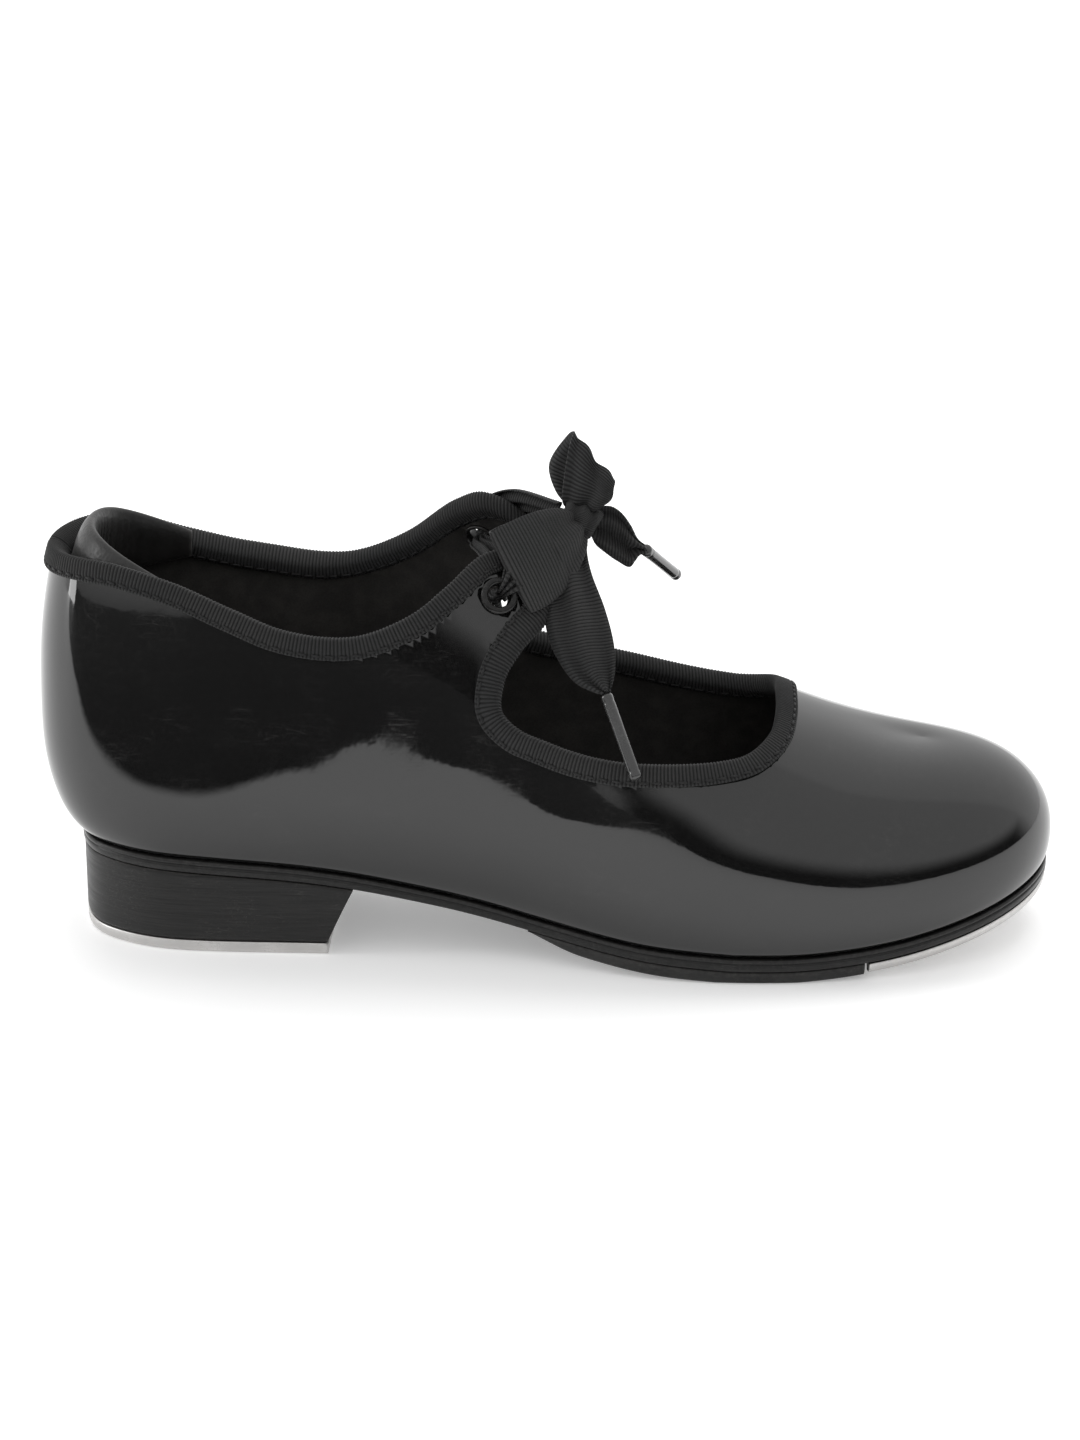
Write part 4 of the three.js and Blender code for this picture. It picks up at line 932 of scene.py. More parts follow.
def bindingPiece(values):
    section, ribbed = bindingSection(values)
    middle = (values["outerUp"] + values["innerUp"]) / 2
    outward = section - [0.8, middle]
    outward[:, 0] *= (section[:, 0] < 0)
    outward /= np.maximum(np.linalg.norm(outward, axis=1, keepdims=True), 1e-9)
    rib = values["rib"] * np.cos(2 * np.pi * edgeAlong / (edgeTotal / (edgeCount / 4)))
    grid = []
    thin = 1 - values["thinning"] * smoothStep(stationAt(edgeU), 62, 80)
    for (down, up), (sideways, upward), share in zip(section, outward, ribbed):
        level = up if up > 0 else up * thin
        grid.append(edgePoint(down + sideways * rib * share, level + upward * rib * share))
    grid = np.stack(grid, 1)
    around = np.concatenate([[0], np.cumsum(np.linalg.norm(np.diff(section, axis=0), axis=1))])
    uv = np.stack(np.broadcast_arrays(edgeAlong[:, None] * ribPitch * edgeCount / 4 / edgeTotal,
                                      around[None]), -1)
    faces = gridFaces(edgeCount, len(section), wrapRows=True, wrapColumns=True)
    return buildMesh("topline_ribbon_binding", grid, faces, materials["binding"], uv=uv, outward="closed")


def stitchRow(name, values, down, up, count, material):
    # small arched capsules laid along the edge, each a few rings of six points
    index = np.linspace(0, edgeCount, count, endpoint=False).astype(int)
    along = np.array([-1, -0.8, -0.3, 0.3, 0.8, 1.0]) * values["length"] / 2
    radius = np.array([0.25, 0.8, 1, 1, 0.8, 0.25]) * values["radius"]
    turn = np.arange(6) * np.pi / 3
    arch = 0.16 * (1 - (along / along[-1]) ** 2)
    local = np.stack([
        np.broadcast_to(along[:, None], (6, 6)),
        radius[:, None] * np.cos(turn)[None] + 0.08 * along[:, None],
        0.75 * radius[:, None] * np.sin(turn)[None] + arch[:, None],
    ], -1)
    centre = edgePoint(down, up[index] if np.ndim(up) else up, index)
    axes = np.stack([edgeTangent[index], edgeAway[index], edgeOut[index]], 1)
    points = centre[:, None, None] + np.einsum("rkc,ncd->nrkd", local, axes)
    one = gridFaces(6, 6, wrapColumns=True)
    step = (np.arange(count) * 36)[:, None, None]
    faces = (one[None] + step).reshape(-1, 4).tolist()
    for shift in step.ravel().tolist():
        faces.append([shift + k for k in range(5, -1, -1)])
        faces.append([shift + 30 + k for k in range(6)])
    return buildMesh(name, points, faces, material, outward="closed")


bindingStrip = bindingPiece(binding)
settle(bindingStrip, "shoe", "ribbon_grosgrain", "topline_binding", crossesBall=True)
bindingStitches = stitchRow("binding_stitches", stitch, stitch["down"], binding["outerUp"] - 0.12,
                            stitch["count"], materials["thread"])
settle(bindingStitches, "shoe", "ribbon_grosgrain", crossesBall=True)
innerSeat = binding["innerUp"] * (1 - binding["thinning"] * smoothStep(stationAt(edgeU), 62, 80)) - 0.12
innerStitches = stitchRow("binding_inner_stitches", stitch, binding["innerLeg"] - 0.7, innerSeat,
                          stitch["count"], materials["thread"])
settle(innerStitches, "shoe", "ribbon_grosgrain", crossesBall=True)
print("binding built")

collar = {"reach": 34.0, "rows": 110, "around": 36, "gather": 0.16}


def collarPiece(values):
    # a roll inside the back of the topline: its section shrinks to both ends by a power of the place
    t = np.linspace(0, 1, values["rows"])
    turn = np.linspace(0, 2 * np.pi, values["around"], endpoint=False)
    u = float(uAt(values["reach"])) * np.abs(2 * t - 1)
    size = 1 - np.abs(2 * t - 1) ** 2.2
    depth = last["upperThickness"] + last["coverGap"] + last["liningThickness"] + 2.4
    middle = 0.50 + 0.035 * size
    full = np.sign(np.sin(turn)) * np.abs(np.sin(turn)) ** 0.85
    share = middle[:, None] + full[None] * (0.028 + 0.07 * size[:, None])
    gather = values["gather"] * np.sin(t * 2 * np.pi * 23 + 1.7 * np.sin(t * 31)) * size
    puff = gather[:, None] * np.maximum(np.cos(turn), 0)[None] ** 2
    inset = depth + (1.1 + 1.7 * size[:, None]) * (1 + 0.98 * np.cos(turn)[None]) + puff
    w = np.where((t < 0.5)[:, None], share, 2 - share)
    grid = lastPoint(u[:, None], w, inset)
    ends = [np.broadcast_to(grid[k].mean(0), (1,) + grid[k].shape) for k in (0, -1)]
    grid = np.concatenate([ends[0], grid, ends[1]])
    faces = gridFaces(len(grid), values["around"], wrapColumns=True)
    return buildMesh("padded_collar", grid, faces, materials["collar"], outward="closed")


paddedCollar = collarPiece(collar)
settle(paddedCollar, "shoe", "collar_padding", "heel_collar")
print("collar built")


def layerPiece(name, rows, material, start=0.0, columns=150, across=10, endRound=0.0, dish=0.0):
    # a ring of points round the layer's section, carried from its start to each row's own end
    # rows run up the edge, each (reach past the feather line, height, end station); partial ends are rounded
    reach = np.array([row[0] for row in rows], float)
    end = np.array([row[2] for row in rows], float)
    turn = np.radians([0, 30, 60]) if endRound else np.array([])
    t = np.linspace(0, 1, columns)
    shift = np.zeros(columns)
    inward = np.zeros(columns)
    curve = endRound * (1 - np.cos(turn))
    squeeze = endRound * (1 - np.sin(turn))
    if start > 0:
        t, shift = np.concatenate([0 * turn, t]), np.concatenate([curve, shift + 0])
        shift[len(turn)] = endRound
        inward = np.concatenate([squeeze, inward])
    if end.max() < last["length"]:
        t, inward = np.concatenate([t, 0 * turn + 1]), np.concatenate([inward, squeeze[::-1]])
        shift[-1] = -endRound
        shift = np.concatenate([shift, -curve[::-1]])
    u = uAt(start) + (uAt(end)[None] - uAt(start)) * t[:, None]
    u = uAt(np.clip(stationAt(u) + shift[:, None], 0, last["length"]))
    lift = np.linspace(1, -1, len(rows))

    def edgeRow(side):
        points = []
        for k, (_, height, _) in enumerate(rows):
            point = featherPoint(u[:, k], side, reach[k] - inward, height)
            point[:, 2] += inward * lift[k]
            points.append(point)
        return np.stack(points, 1)

    near, far = edgeRow(-1), edgeRow(1)
    s = np.linspace(0, 1, across + 1)[1:-1]

    def face(a, b, hollow):
        body = a[:, None] + (b - a)[:, None] * s[None, :, None]
        body[..., 2] -= hollow * np.sin(np.pi * s)[None]
        return body

    top = face(near[:, -1], far[:, -1], dish)
    under = face(far[:, 0], near[:, 0], 0.0)
    grid = np.concatenate([near, top, far[:, ::-1], under], 1)
    ring = grid.shape[1]
    along = np.concatenate([[0], np.cumsum(np.linalg.norm(np.diff(grid[:, 0], axis=0), axis=1))])
    around = np.arange(ring) * 1.0
    uv = np.stack(np.broadcast_arrays(along[:, None], around[None]), -1)
    faces = gridFaces(len(grid), ring, wrapColumns=True).tolist()
    if start > 0:
        faces.append(list(range(ring)))
    if end.max() < last["length"]:
        faces.append([(len(grid) - 1) * ring + k for k in range(ring)][::-1])
    return buildMesh(name, grid, faces, material, uv=uv, outward="closed")


toe = last["length"]
edgeReach = last["soleEdge"]
gap = last["clearance"]
tapThickness = {"heel": 3.0, "toe": 2.6}


def above(height, lift):
    return lambda x: height(x) + lift


def outsolePiece():
    steps = [(-0.7, 0.0), (-0.25, 0.12), (0.0, 0.5), (0.05, 1.4), (0.0, 1.9), (-0.22, 2.02), (-0.22, 2.14),
             (0.02, 2.26), (0.06, 2.7), (-0.08, 3.08), (-0.5, 3.3)]
    rows = [(edgeReach + out, above(soleUnder, lift), toe) for out, lift in steps]
    return layerPiece("rubber_outsole", rows, materials["sole"], columns=190, across=14)


wallStack = last["upperThickness"] + last["coverGap"] + last["liningThickness"]
insideWall = -(wallStack + stiffener["thickness"] + last["coverGap"] + 2 * last["clearance"])
board = {"thickness": 2.0, "under": wallStack + last["clearance"]}


def sockPiece():
    base = board["under"] + board["thickness"] + last["clearance"]
    steps = [(0.0, 0.0), (0.1, 0.5), (0.1, 1.6), (-0.35, 2.15), (-1.0, 2.4)]
    rows = [(insideWall + out, above(feather, base + lift), toe) for out, lift in steps]
    return layerPiece("sock_pad", rows, materials["sock"], columns=150, across=24, dish=0.5)


def insolePiece():
    # the board under the sock: two flat rows with a small round on each edge
    high = board["thickness"]
    steps = [(-0.15, 0.0), (0.0, 0.15), (0.0, high - 0.15), (-0.15, high)]
    rows = [(insideWall + out, above(feather, board["under"] + lift), toe) for out, lift in steps]
    return layerPiece("insole_sheet", rows, materials["board"], columns=110, across=10)


def fillerPiece():
    # cork inside the folded margin, ahead of the shank
    steps = [(-0.2, 0.0), (0.0, 0.2), (0.0, 2.3), (-0.2, 2.5)]
    rows = [(out - 12.4, above(feather, lift), 228) for out, lift in steps]
    return layerPiece("cork_layer", rows, materials["cork"], start=142.8, columns=60, across=8)


padTaper = through([[121, 0.9], [135, 0], [204, 0]])


def padUnder(x):
    return np.maximum(0, soleUnder(x) - gap - last["padThickness"] * (1 - padTaper(x)))


def padPiece():
    top = above(soleUnder, -gap)
    side = lambda x: np.minimum(padUnder(x) + 0.8, top(x) - 0.1)
    middle = lambda x: (side(x) + top(x)) / 2
    rows = [(edgeReach - 1.8, padUnder, 204),
            (edgeReach - 1.0, lambda x: np.minimum(padUnder(x) + 0.25, side(x)), 204),
            (edgeReach - 0.6, side, 204), (edgeReach - 0.42, middle, 204), (edgeReach - 0.3, top, 204)]
    return layerPiece("ball_rubber_pad", rows, materials["pad"], start=121, columns=90, across=14,
                      endRound=0.25)


def heelPiece():
    # thin lifts of leather: each boundary is a shallow groove round the heel
    count = 43
    bottom = tapThickness["heel"] + gap
    edge = last["heelEdge"]
    rows = []
    for k in range(count):
        share = k / (count - 1)
        groove = 0.11 * math.exp(-((share * 5 + 0.5) % 1 - 0.5) ** 2 / 0.0025) * (0.02 < share < 0.98)
        corner = 0.25 * max(0, 1 - k / 2) + 0.2 * max(0, 1 - (count - 1 - k) / 2)
        height = lambda x, s=share: bottom + (soleUnder(x) - gap - bottom) * s
        rows.append((edge - groove - corner, height, 72.5 + 6.5 * share))
    return layerPiece("stacked_heel", rows, materials["stack"], columns=110, across=8)


def heelTapPiece():
    edge = last["heelEdge"]
    steps = [(-1.25, 0.0), (-0.8, 0.06), (-0.42, 0.24), (-0.16, 0.55), (-0.02, 1.0), (0.0, 1.5), (0.0, 2.7),
             (-0.08, 2.92), (-0.3, 3.0)]
    rows = [(edge + out, lambda x, h=lift: np.full_like(x, h), 72.5) for out, lift in steps]
    return layerPiece("heel_tap_plate", rows, materials["tap"], columns=110, across=6)


def toeTapPiece():
    base = above(soleUnder, -gap - tapThickness["toe"])
    steps = [(-1.9, 0.0), (-1.35, 0.05), (-0.95, 0.2), (-0.62, 0.5), (-0.36, 0.95), (-0.22, 1.4),
             (-0.2, 2.35),
             (-0.28, 2.53), (-0.5, 2.6)]
    rows = [(edgeReach + out, above(base, lift), toe) for out, lift in steps]
    return layerPiece("toe_tap_plate", rows, materials["tap"], start=205, columns=90, across=10,
                      endRound=0.35)


def turnedPiece(name, profile, sides, place, axis, material, closed=False):
    # a profile of [radius, height] turned about an axis at a place; a radius of 0 is a pole
    profile = np.array(profile, float)
    axis = np.array(axis, float) / np.linalg.norm(axis)
    helper = np.array([1.0, 0, 0]) if abs(axis[0]) < 0.9 else np.array([0, 1.0, 0])
    first = np.cross(axis, helper)
    first /= np.linalg.norm(first)
    second = np.cross(axis, first)
    turn = np.linspace(0, 2 * np.pi, sides, endpoint=False)
    ray = np.cos(turn)[:, None] * first + np.sin(turn)[:, None] * second
    grid = np.asarray(place) + profile[:, 0, None, None] * ray[None] + profile[:, 1, None, None] * axis
    faces = gridFaces(len(profile), sides, wrapRows=closed, wrapColumns=True)
    return buildMesh(name, grid, faces, material, outward="closed")


def boxPiece(name, centre, axes, half):
    corners = np.array([[a, b, c] for a in (-1, 1) for b in (-1, 1) for c in (-1, 1)], float) * half
    points = np.asarray(centre) + corners @ np.asarray(axes)
    faces = [[0, 1, 3, 2], [4, 6, 7, 5], [0, 4, 5, 1], [2, 3, 7, 6], [0, 2, 6, 4], [1, 5, 7, 3]]
    return buildMesh(name, points, faces, materials["screw"], smooth=False, outward="closed")


def cutAway(obj, cutters):
    # exact difference; the cutters are used up
    for cutter in cutters:
        hole = obj.modifiers.new("hole", "BOOLEAN")
        hole.operation, hole.solver, hole.object = "DIFFERENCE", "EXACT", cutter
        bakeModifiers(obj)
        bpy.data.objects.remove(cutter)
    return obj


screw = {"head": 3.0, "shank": 1.5, "neck": 2.1, "air": 0.12, "slot": (0.42, 1.9, 0.85)}
heelScrews = [(21, 0), (61, -17), (61, 17)]
toeScrews = [(236, 5), (213, -23), (213, 28)]


def screwPlaces():
    # each screw stands square to its plate, its head just inside the plate's face
    places = [((x, y, 0.25), (0, 0, 1), 11.0) for x, y in heelScrews]
    for x, y in toeScrews:
        rise = math.atan2(float(soleUnder(x + 4) - soleUnder(x - 4)), 8)
        place = (x, y, float(soleUnder(x)) - gap - tapThickness["toe"] + 0.3)
        places.append((place, (-math.sin(rise), 0, math.cos(rise)),
                       tapThickness["toe"] + gap + last["outsoleThickness"] - 0.8))
    return places


def screwPiece(name, place, axis, length, turnBy):
    head, shank, neck = screw["head"], screw["shank"], screw["neck"]
    profile = [[0, -0.12], [head * 0.5, -0.1], [head * 0.86, 0.0], [head, 0.16], [head, 0.3],
               [shank, neck], [shank, length - 1], [shank * 0.4, length], [0, length]]
    obj = turnedPiece(name, profile, 40, place, axis, materials["screw"])
    axis = np.array(axis) / np.linalg.norm(axis)
    first = np.cross(axis, [math.cos(turnBy), math.sin(turnBy), 0.0])
    first /= np.linalg.norm(first)
    axes = np.array([first, np.cross(axis, first), axis])
    wide, long, deep = screw["slot"]
    slots = [boxPiece("slot", place, axes, (wide, long, deep)),
             boxPiece("slot", place, axes, (long, wide, deep))]
    return cutAway(obj, slots)


def screwHole(place, axis):
    head, shank, neck, air = screw["head"], screw["shank"], screw["neck"], screw["air"]
    profile = [[0, -2], [head + air, -2], [head + air, 0.3], [shank + air, neck], [shank + air, 6], [0, 6]]
    return turnedPiece("hole", profile, 40, place, axis, materials["screw"])


settle(outsolePiece(), "shoe", "sole_rubber", "outsole", crossesBall=True)
sock = settle(sockPiece(), "shoe", "sock_cloth", "sock_liner", crossesBall=True)
settle(insolePiece(), "shoe", "fibre_board", "insole_board", crossesBall=True)
settle(fillerPiece(), "shoe", "cork_filler", "bottom_filler", crossesBall=True)
settle(padPiece(), "shoe", "pad_rubber", "ball_pad", crossesBall=True)
settle(heelPiece(), "shoe", "stacked_heel", "heel_block")
placesOfScrews = screwPlaces()
heelTap = cutAway(heelTapPiece(), [screwHole(place, axis) for place, axis, _ in placesOfScrews[:3]])
settle(heelTap, "shoe", "tap_aluminium", "heel_tap")
toeTap = cutAway(toeTapPiece(), [screwHole(place, axis) for place, axis, _ in placesOfScrews[3:]])
settle(toeTap, "forefoot", "tap_aluminium", "toe_tap")
for number, (place, axis, length) in enumerate(placesOfScrews):
    where, body, k = ("heel", "shoe", number + 1) if number < 3 else ("toe", "forefoot", number - 2)
    piece = screwPiece(f"{where}_screw_{k}", place, axis, length, 0.4 + 1.1 * number)
    settle(piece, body, "fastener_steel", f"{where}_tap_screw_{k}")
print("sole, heel and taps built")

eyelet = {"bore": 2.75, "barrel": 3.1, "flange": 4.5, "seat": 0.75, "back": -3.3}


def eyeletPiece(name, place):
    # a rolled flange each side of a thin barrel, turned about the direction out of the last
    bore, barrel, flange = eyelet["bore"], eyelet["barrel"], eyelet["flange"]
    seat, back = eyelet["seat"], eyelet["back"]
    turn = np.radians(np.linspace(-80, 200, 13))
    middle, half = (bore + flange) / 2, (flange - bore) / 2
    roll = [[middle + half * math.cos(a), seat + 0.32 + 0.62 * math.sin(a)] for a in turn]
    profile = [[barrel, back], [barrel, seat - 0.1]] + roll + [[bore, seat - 0.3], [bore, back - 0.35]]
    profile += [[bore + 0.25, back - 0.6], [flange - 1.0, back - 0.6], [flange - 0.8, back - 0.3],
                [flange - 1.0, back]]
    u, w = np.array(place[0]), np.array(place[1])
    out = lastFrame(u, w)[2]
    return turnedPiece(name, profile, 56, lastPoint(u, w, 0), out, materials["eyelet"], closed=True)


for sideName, place in eyeletPlaces.items():
    settle(eyeletPiece(f"eyelet_ring_{sideName}", place), "shoe", "eyelet_black", f"eyelet_{sideName}")
print("eyelets built")

bow = {"width": 19.0, "cloth": 0.42, "rib": 0.09, "across": 34, "folds": 2, "deepest": 0.5}


def smoothRows(rows, perSpan):
    return smoothCurve(np.array(rows, float), perSpan)


def ribbonStrip(name, rows, folds=None, deepest=None):
    # rows are [left x y z, right x y z, curl]; the strip bows out by curl, and where it narrows it folds
    # into pleats whose depth keeps the cloth's own width; ribs run across it, every rib pitch along it
    width = bow["width"]
    folds = bow["folds"] if folds is None else folds
    dense = smoothRows(rows, 60)
    middle = (dense[:, :3] + dense[:, 3:6]) / 2
    step = np.linalg.norm(np.diff(middle, axis=0), axis=1)
    length = float(step.sum())
    count = max(int(round(length / ribPitch)), 4) * 4 + 1
    place, along, _ = spaceEvenly(middle, count)
    dense = np.stack([np.interp(place, np.arange(len(dense)), dense[:, k]) for k in range(dense.shape[1])], 1)
    left, right, curl = dense[:, :3], dense[:, 3:6], dense[:, 6]
    t = np.linspace(0, 1, bow["across"] + 1)
    flat = left[:, None] + (right - left)[:, None] * t[None, :, None]
    side = right - left
    span = np.maximum(np.linalg.norm(side, axis=1), 1e-6)
    forward = np.gradient((left + right) / 2, axis=0)
    normal = np.cross(forward, side)
    normal /= np.maximum(np.linalg.norm(normal, axis=1, keepdims=True), 1e-9)
    arch = 4 * t * (1 - t)
    # a wave of slope s is about 2 s / pi longer than its span when steep, so this slope uses up the cloth
    slope = np.pi / 2 * np.sqrt(np.maximum((width / span) ** 2 - 1, 0))
    depth = np.minimum(span * slope / (2 * np.pi * folds), bow["deepest"] if deepest is None else deepest)
    pleat = np.sin(2 * np.pi * folds * t + 0.6)[None] * depth[:, None]
    edgeSoft = np.minimum(1, 6 * np.minimum(t, 1 - t) + 0.25)
    rib = bow["rib"] * np.cos(2 * np.pi * np.arange(count) / 4)
    ribShare = 1 - 0.6 * (np.minimum(t, 1 - t) < 0.045)
    offset = curl[:, None] * arch[None] + pleat * edgeSoft[None] + rib[:, None] * ribShare[None]
    grid = flat + normal[:, None] * offset[..., None]
    uv = np.stack(np.broadcast_arrays(along[:, None], (t * width)[None]), -1)
    obj = buildMesh(name, grid, gridFaces(count, len(t)), materials["ribbon"], uv=uv)
    giveWall(obj, bow["cloth"], 0.0)
    clothWidth = np.linalg.norm(np.diff(grid, axis=1), axis=2).sum(1).mean()
    return obj, float(clothWidth), length * mm


def placeRibbon(name, rows, body, node, held, restsOn=(), **options):
    obj, clothWidth, length = ribbonStrip(name, rows, **options)
    settle(obj, body, "ribbon_grosgrain", node)
    print(name, "cloth width", round(clothWidth, 1), "of", bow["width"], "mm")
    return obj


topLoop = [
    [131.5, -4.5, 106.6, 135.5, -4.5, 106.2, 0.3],
    [128.9, -5.8, 110.0, 138.2, -8.4, 109.6, 0.9],
    [129.2, -4.4, 116.0, 140.5, -10.2, 112.2, 1.3],
    [130.5, -1.8, 123.6, 141.2, -9.2, 114.6, 0.8],
    [131.3, 0.8, 125.7, 141.4, -6.6, 115.7, 0.3],
    [129.8, 3.2, 124.1, 140.3, -3.4, 115.1, 0.8],
    [125.3, 4.6, 116.2, 137.5, -0.8, 112.0, 1.3],
    [127.1, 1.4, 110.5, 136.5, -1.2, 109.2, 0.8],
    [131.0, -1.6, 106.9, 134.5, -1.7, 106.6, 0.3],
]
nearLoop = [
    [131.8, -7.2, 107.6, 135.0, -8.6, 103.6, 0.3],
    [128.0, -10.8, 110.0, 134.6, -14.3, 99.7, 1.0],
    [122.0, -14.6, 110.1, 130.8, -19.5, 93.5, 1.6],
    [116.0, -17.9, 108.3, 126.0, -22.9, 89.8, 1.2],
    [112.7, -19.2, 106.6, 122.5, -24.2, 88.5, 0.5],
    [112.3, -17.4, 106.3, 122.1, -22.2, 88.3, 0.5],
    [115.6, -14.6, 107.2, 125.0, -19.6, 90.0, 1.0],
    [122.5, -10.4, 108.3, 130.2, -15.0, 95.2, 1.0],
    [130.2, -5.6, 106.8, 133.6, -7.4, 103.2, 0.3],
]
backTail = [
    [135.4, -4.2, 105.7, 135.4, -4.8, 103.2, 0.2],
    [136.8, -4.2, 107.9, 136.6, -5.6, 99.8, 0.8],
    [139.9, -4.0, 108.6, 139.4, -6.4, 97.6, 1.3],
    [142.6, -4.0, 107.2, 142.4, -6.6, 95.6, 1.4],
    [145.2, -4.4, 103.9, 145.3, -6.2, 94.2, 1.2],
    [147.0, -4.2, 100.4, 147.2, -4.9, 96.6, 0.4],
    [148.7, -4.1, 98.9, 148.8, -4.1, 97.2, 0.1],
]
frontTail = [
    [132.3, -7.5, 103.2, 135.2, -7.0, 103.0, 0.2],
    [128.8, -13.0, 98.0, 135.0, -11.6, 100.0, 0.9],
    [126.2, -17.5, 91.2, 136.4, -16.6, 95.6, 1.8],
    [125.6, -20.6, 85.4, 139.6, -20.2, 88.4, 2.2],
    [127.8, -23.6, 78.6, 141.9, -24.2, 81.4, 2.0],
    [132.8, -27.4, 72.5, 142.5, -27.6, 75.8, 1.2],
    [138.2, -30.4, 70.8, 141.8, -30.0, 72.3, 0.5],
    [139.9, -31.0, 70.6, 141.3, -30.8, 71.4, 0.1],
]


def eyeletAxes(sideName, target):
    # the hole's centre, the way out of the wall, and the way along the wall towards a target
    u, w = np.array(eyeletPlaces[sideName][0]), np.array(eyeletPlaces[sideName][1])
    centre, out = lastPoint(u, w, 0), lastFrame(u, w)[2]
    toward = np.array(target, float) - centre
    toward -= out * (toward @ out)
    return centre, out, toward / np.linalg.norm(toward)


def eyeletRun(sideName, middlePoints, widths, curls):
    # from inside the hole, close to its side, over its flange and on to the knot
    # its width lies along the wall
    centre, out, toward = eyeletAxes(sideName, middlePoints[0])
    spots = [centre - 4.8 * out + 1.8 * toward, centre - 0.5 * out + 1.8 * toward,
             centre + 2.3 * out + 2.9 * toward, centre + 2.6 * out + 5.6 * toward]
    spots = np.array(spots + [np.array(p, float) for p in middlePoints])
    across = np.cross(np.gradient(spots, axis=0), out)
    across /= np.linalg.norm(across, axis=1, keepdims=True)
    half = np.array(widths, float)[:, None] / 2
    return np.hstack([spots - across * half, spots + across * half, np.array(curls, float)[:, None]]).tolist()


def onTab(station, w, lift):
    return lastPoint(uAt(station), np.array(w), -lift).tolist()


lateralTarget, medialTarget = onTab(120.5, 0.77, 2.4), onTab(113.0, 2 - 0.76, 2.3)
lateralRun = eyeletRun("lateral", [lateralTarget, onTab(125.5, 0.85, 3.4), [130.2, -6.2, 103.6]],
                       [2.4, 2.6, 4.2, 7.0, 9.0, 8.5, 6.5], [0.1, 0.1, 0.2, 0.4, 0.4, 0.3, 0.2])
medialRun = eyeletRun("medial", [medialTarget, onTab(118.0, 2 - 0.87, 3.0), [128.8, -0.6, 105.6]],
                      [2.4, 2.6, 4.2, 7.0, 9.0, 9.0, 6.5], [0.1, 0.1, 0.2, 0.4, 0.5, 0.4, 0.2])


def crossRun():
    # between the two holes, inside the opening, leaving the middle of each hole free
    a, outA, towardA = eyeletAxes("lateral", lateralTarget)
    b, outB, towardB = eyeletAxes("medial", medialTarget)
    spots = [a - 5.4 * outA + 2.2 * towardA, a - 7.0 * outA + 2.6 * towardA, [113.5, 0, 95.0],
             b - 7.0 * outB + 2.6 * towardB, b - 5.4 * outB + 2.2 * towardB]
    spots = np.array(spots, float)
    across = np.array([[1.0, 0, 0.15]] * 5)
    across /= np.linalg.norm(across, axis=1, keepdims=True)
    half = np.array([2.4, 5.0, 10.0, 5.0, 2.4])[:, None] / 2
    return np.hstack([spots - across * half, spots + across * half, np.full((5, 1), 0.4)]).tolist()


def knotPiece():
    # a short band of the ribbon drawn round the roots of the loops: a rounded ring with lengthwise pleats
    centre = np.array([133.2, -5.2, 105.6])
    axis = np.array([0.93, -0.06, -0.36])
    axis /= np.linalg.norm(axis)
    up = np.cross(axis, [0, 1, 0])
    up /= np.linalg.norm(up)
    front = np.cross(up, axis)
    turn = np.linspace(0, 2 * np.pi, 240, endpoint=False)
    t = np.linspace(-1, 1, 43)
    cosine, sine = np.cos(turn), np.sin(turn)
    round1 = np.sign(cosine) * np.abs(cosine) ** 0.8
    round2 = np.sign(sine) * np.abs(sine) ** 0.8
    wide = 4.3 * (1 + 0.12 * np.cos(turn - 0.5))
    pleat = 0.42 * np.cos(t[:, None] * 7.5 + 0.6 * np.sin(turn)[None]) * (1 - np.abs(t[:, None]) ** 6)
    swell = 1 - 0.22 * np.abs(t[:, None]) ** 2.6
    rib = 0.05 * np.cos(turn * 60)
    radiusUp = (3.9 + pleat + rib[None]) * swell
    radiusFront = (5.0 + pleat + rib[None]) * swell
    grid = (centre + axis * (t[:, None] * wide[None])[..., None]
            + up * (radiusUp * round1[None])[..., None] + front * (radiusFront * round2[None])[..., None])
    for squeeze in (0.78, 0.45, 0.0):
        for side in (0, -1):
            edge = grid[side]
            middle = edge.mean(0)
            ring = middle + (edge - middle) * squeeze
            grid = np.concatenate([ring[None], grid] if side == 0 else [grid, ring[None]])
    # UV in millimetres: round the ring, then across it
    rows = len(grid)
    uv = np.stack(np.broadcast_arrays((turn / (2 * np.pi) * 60 * ribPitch)[None],
                                      np.linspace(0, 12, rows)[:, None]), -1)
    faces = gridFaces(rows, 240, wrapColumns=True)
    return buildMesh("bow_knot_band", grid, faces, materials["ribbon"], uv=uv, outward="closed")


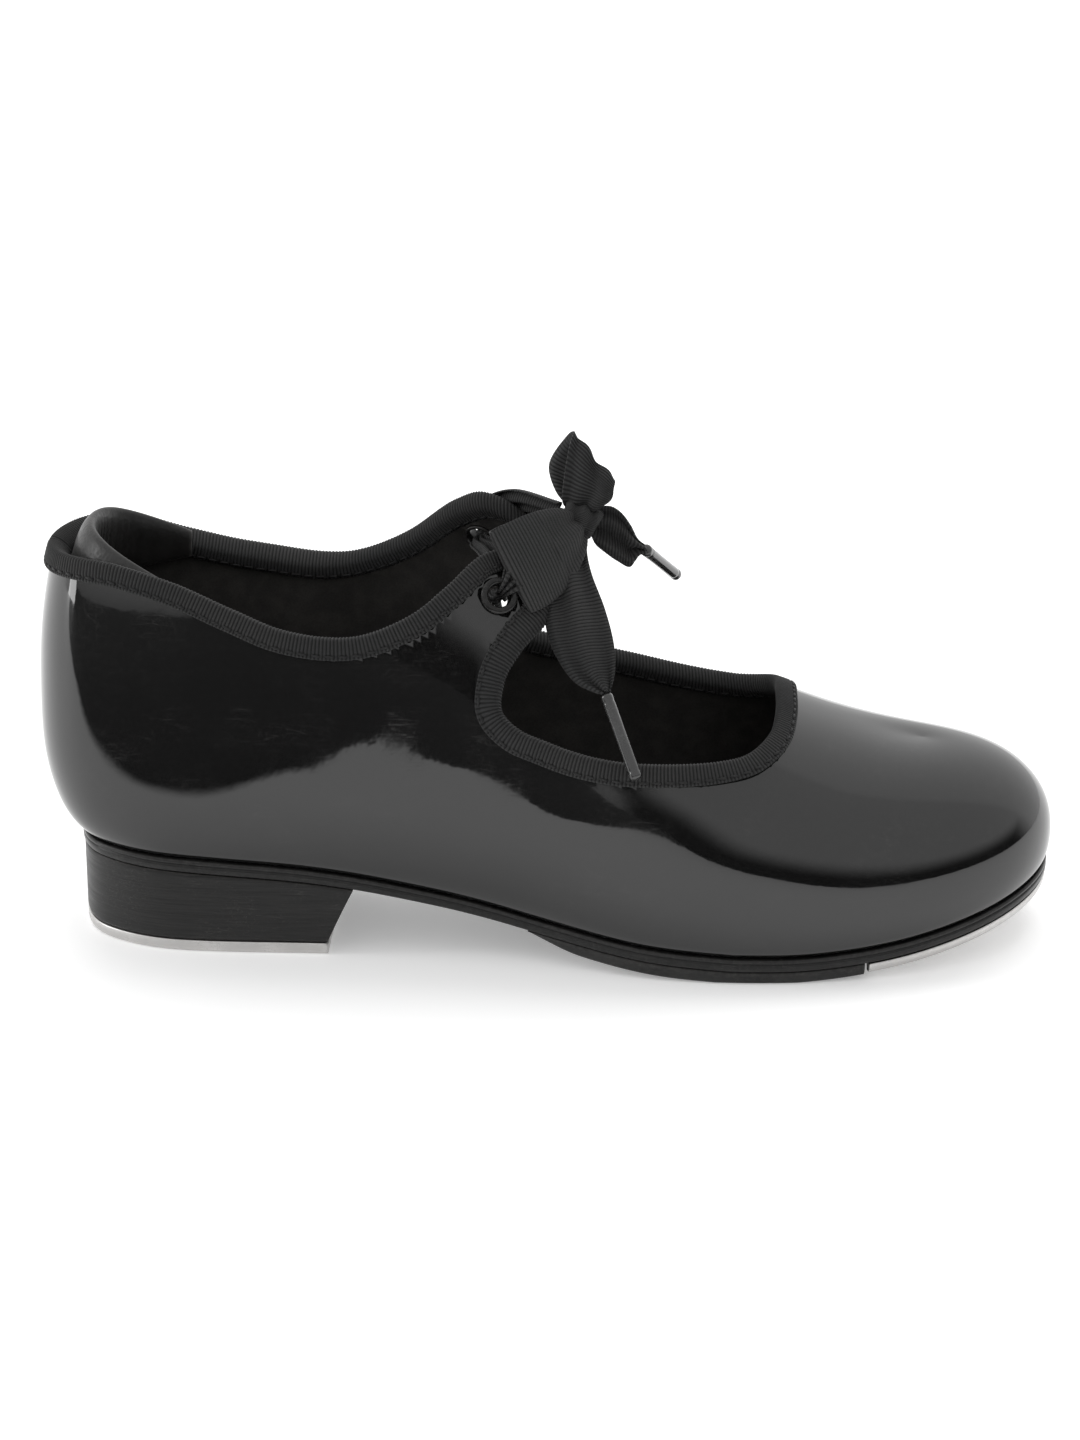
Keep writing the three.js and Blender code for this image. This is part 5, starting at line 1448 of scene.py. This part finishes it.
placeRibbon("bow_top", topLoop, "shoe", "bow_loop_top", "folded", ["bow_knot"])
placeRibbon("bow_near", nearLoop, "shoe", "bow_loop_lateral", "folded", ["bow_knot"])
placeRibbon("run_lateral", lateralRun, "shoe", "ribbon_run_lateral", "gathered", ["eyelet_lateral"],
            folds=3, deepest=1.2)
placeRibbon("run_medial", medialRun, "shoe", "ribbon_run_medial", "gathered", ["eyelet_medial"], folds=3,
            deepest=1.2)
placeRibbon("run_across", crossRun(), "shoe", "ribbon_cross_run", "gathered", ["lining"], folds=3,
            deepest=1.3)
placeRibbon("tail_front", frontTail, "tail_front", "ribbon_tail_front", "gathered", ["bow_knot"], deepest=0.9)
placeRibbon("tail_back", backTail, "tail_back", "ribbon_tail_back", "gathered", ["bow_knot"], deepest=1.2)
settle(knotPiece(), "shoe", "ribbon_grosgrain", "bow_knot")


def tipPiece(name, start, direction, length, radius):
    # a moulded sleeve: rounded ends, a slight waist and a shallow ring near each end
    share = np.linspace(0, 1, 60)
    cap = np.sqrt(np.clip(1 - (1 - np.minimum(share, 1 - share) / 0.035) ** 2, 0, 1))
    cap = np.where(np.minimum(share, 1 - share) > 0.035, 1, cap)
    waist = 1 - 0.05 * np.sin(np.pi * share)
    ring = 1 - 0.07 * np.exp(-((share - 0.1) / 0.012) ** 2) - 0.07 * np.exp(-((share - 0.9) / 0.012) ** 2)
    profile = np.stack([radius * cap * waist * ring, share * length], 1)
    profile[0, 0] = profile[-1, 0] = 0
    return turnedPiece(name, profile, 32, np.array(start, float), direction, materials["tip"])


settle(tipPiece("tip_front", (140.3, -31, 70.9), (8.3, -11.4, -18.3), 22, 1.5), "tail_front",
       "aglet_plastic", "aglet_front")
settle(tipPiece("tip_back", (148.6, -4, 98), (7.5, 16.5, -12), 22, 1.5), "tail_back", "aglet_plastic",
       "aglet_back")
print("bow built")

hiddenLooks = {"heel_counter": "stiff", "toe_puff": "stiff", "shank": "steel",
               "heel_nail_1": "screw", "heel_nail_2": "screw", "heel_nail_3": "screw",
               "heel_nail_4": "screw", "heel_nail_5": "screw"}
for nodeName, look in hiddenLooks.items():
    for slotNumber in range(len(bpy.data.objects[nodeName].material_slots)):
        bpy.data.objects[nodeName].material_slots[slotNumber].material = materials[look]
print("hidden parts dressed")
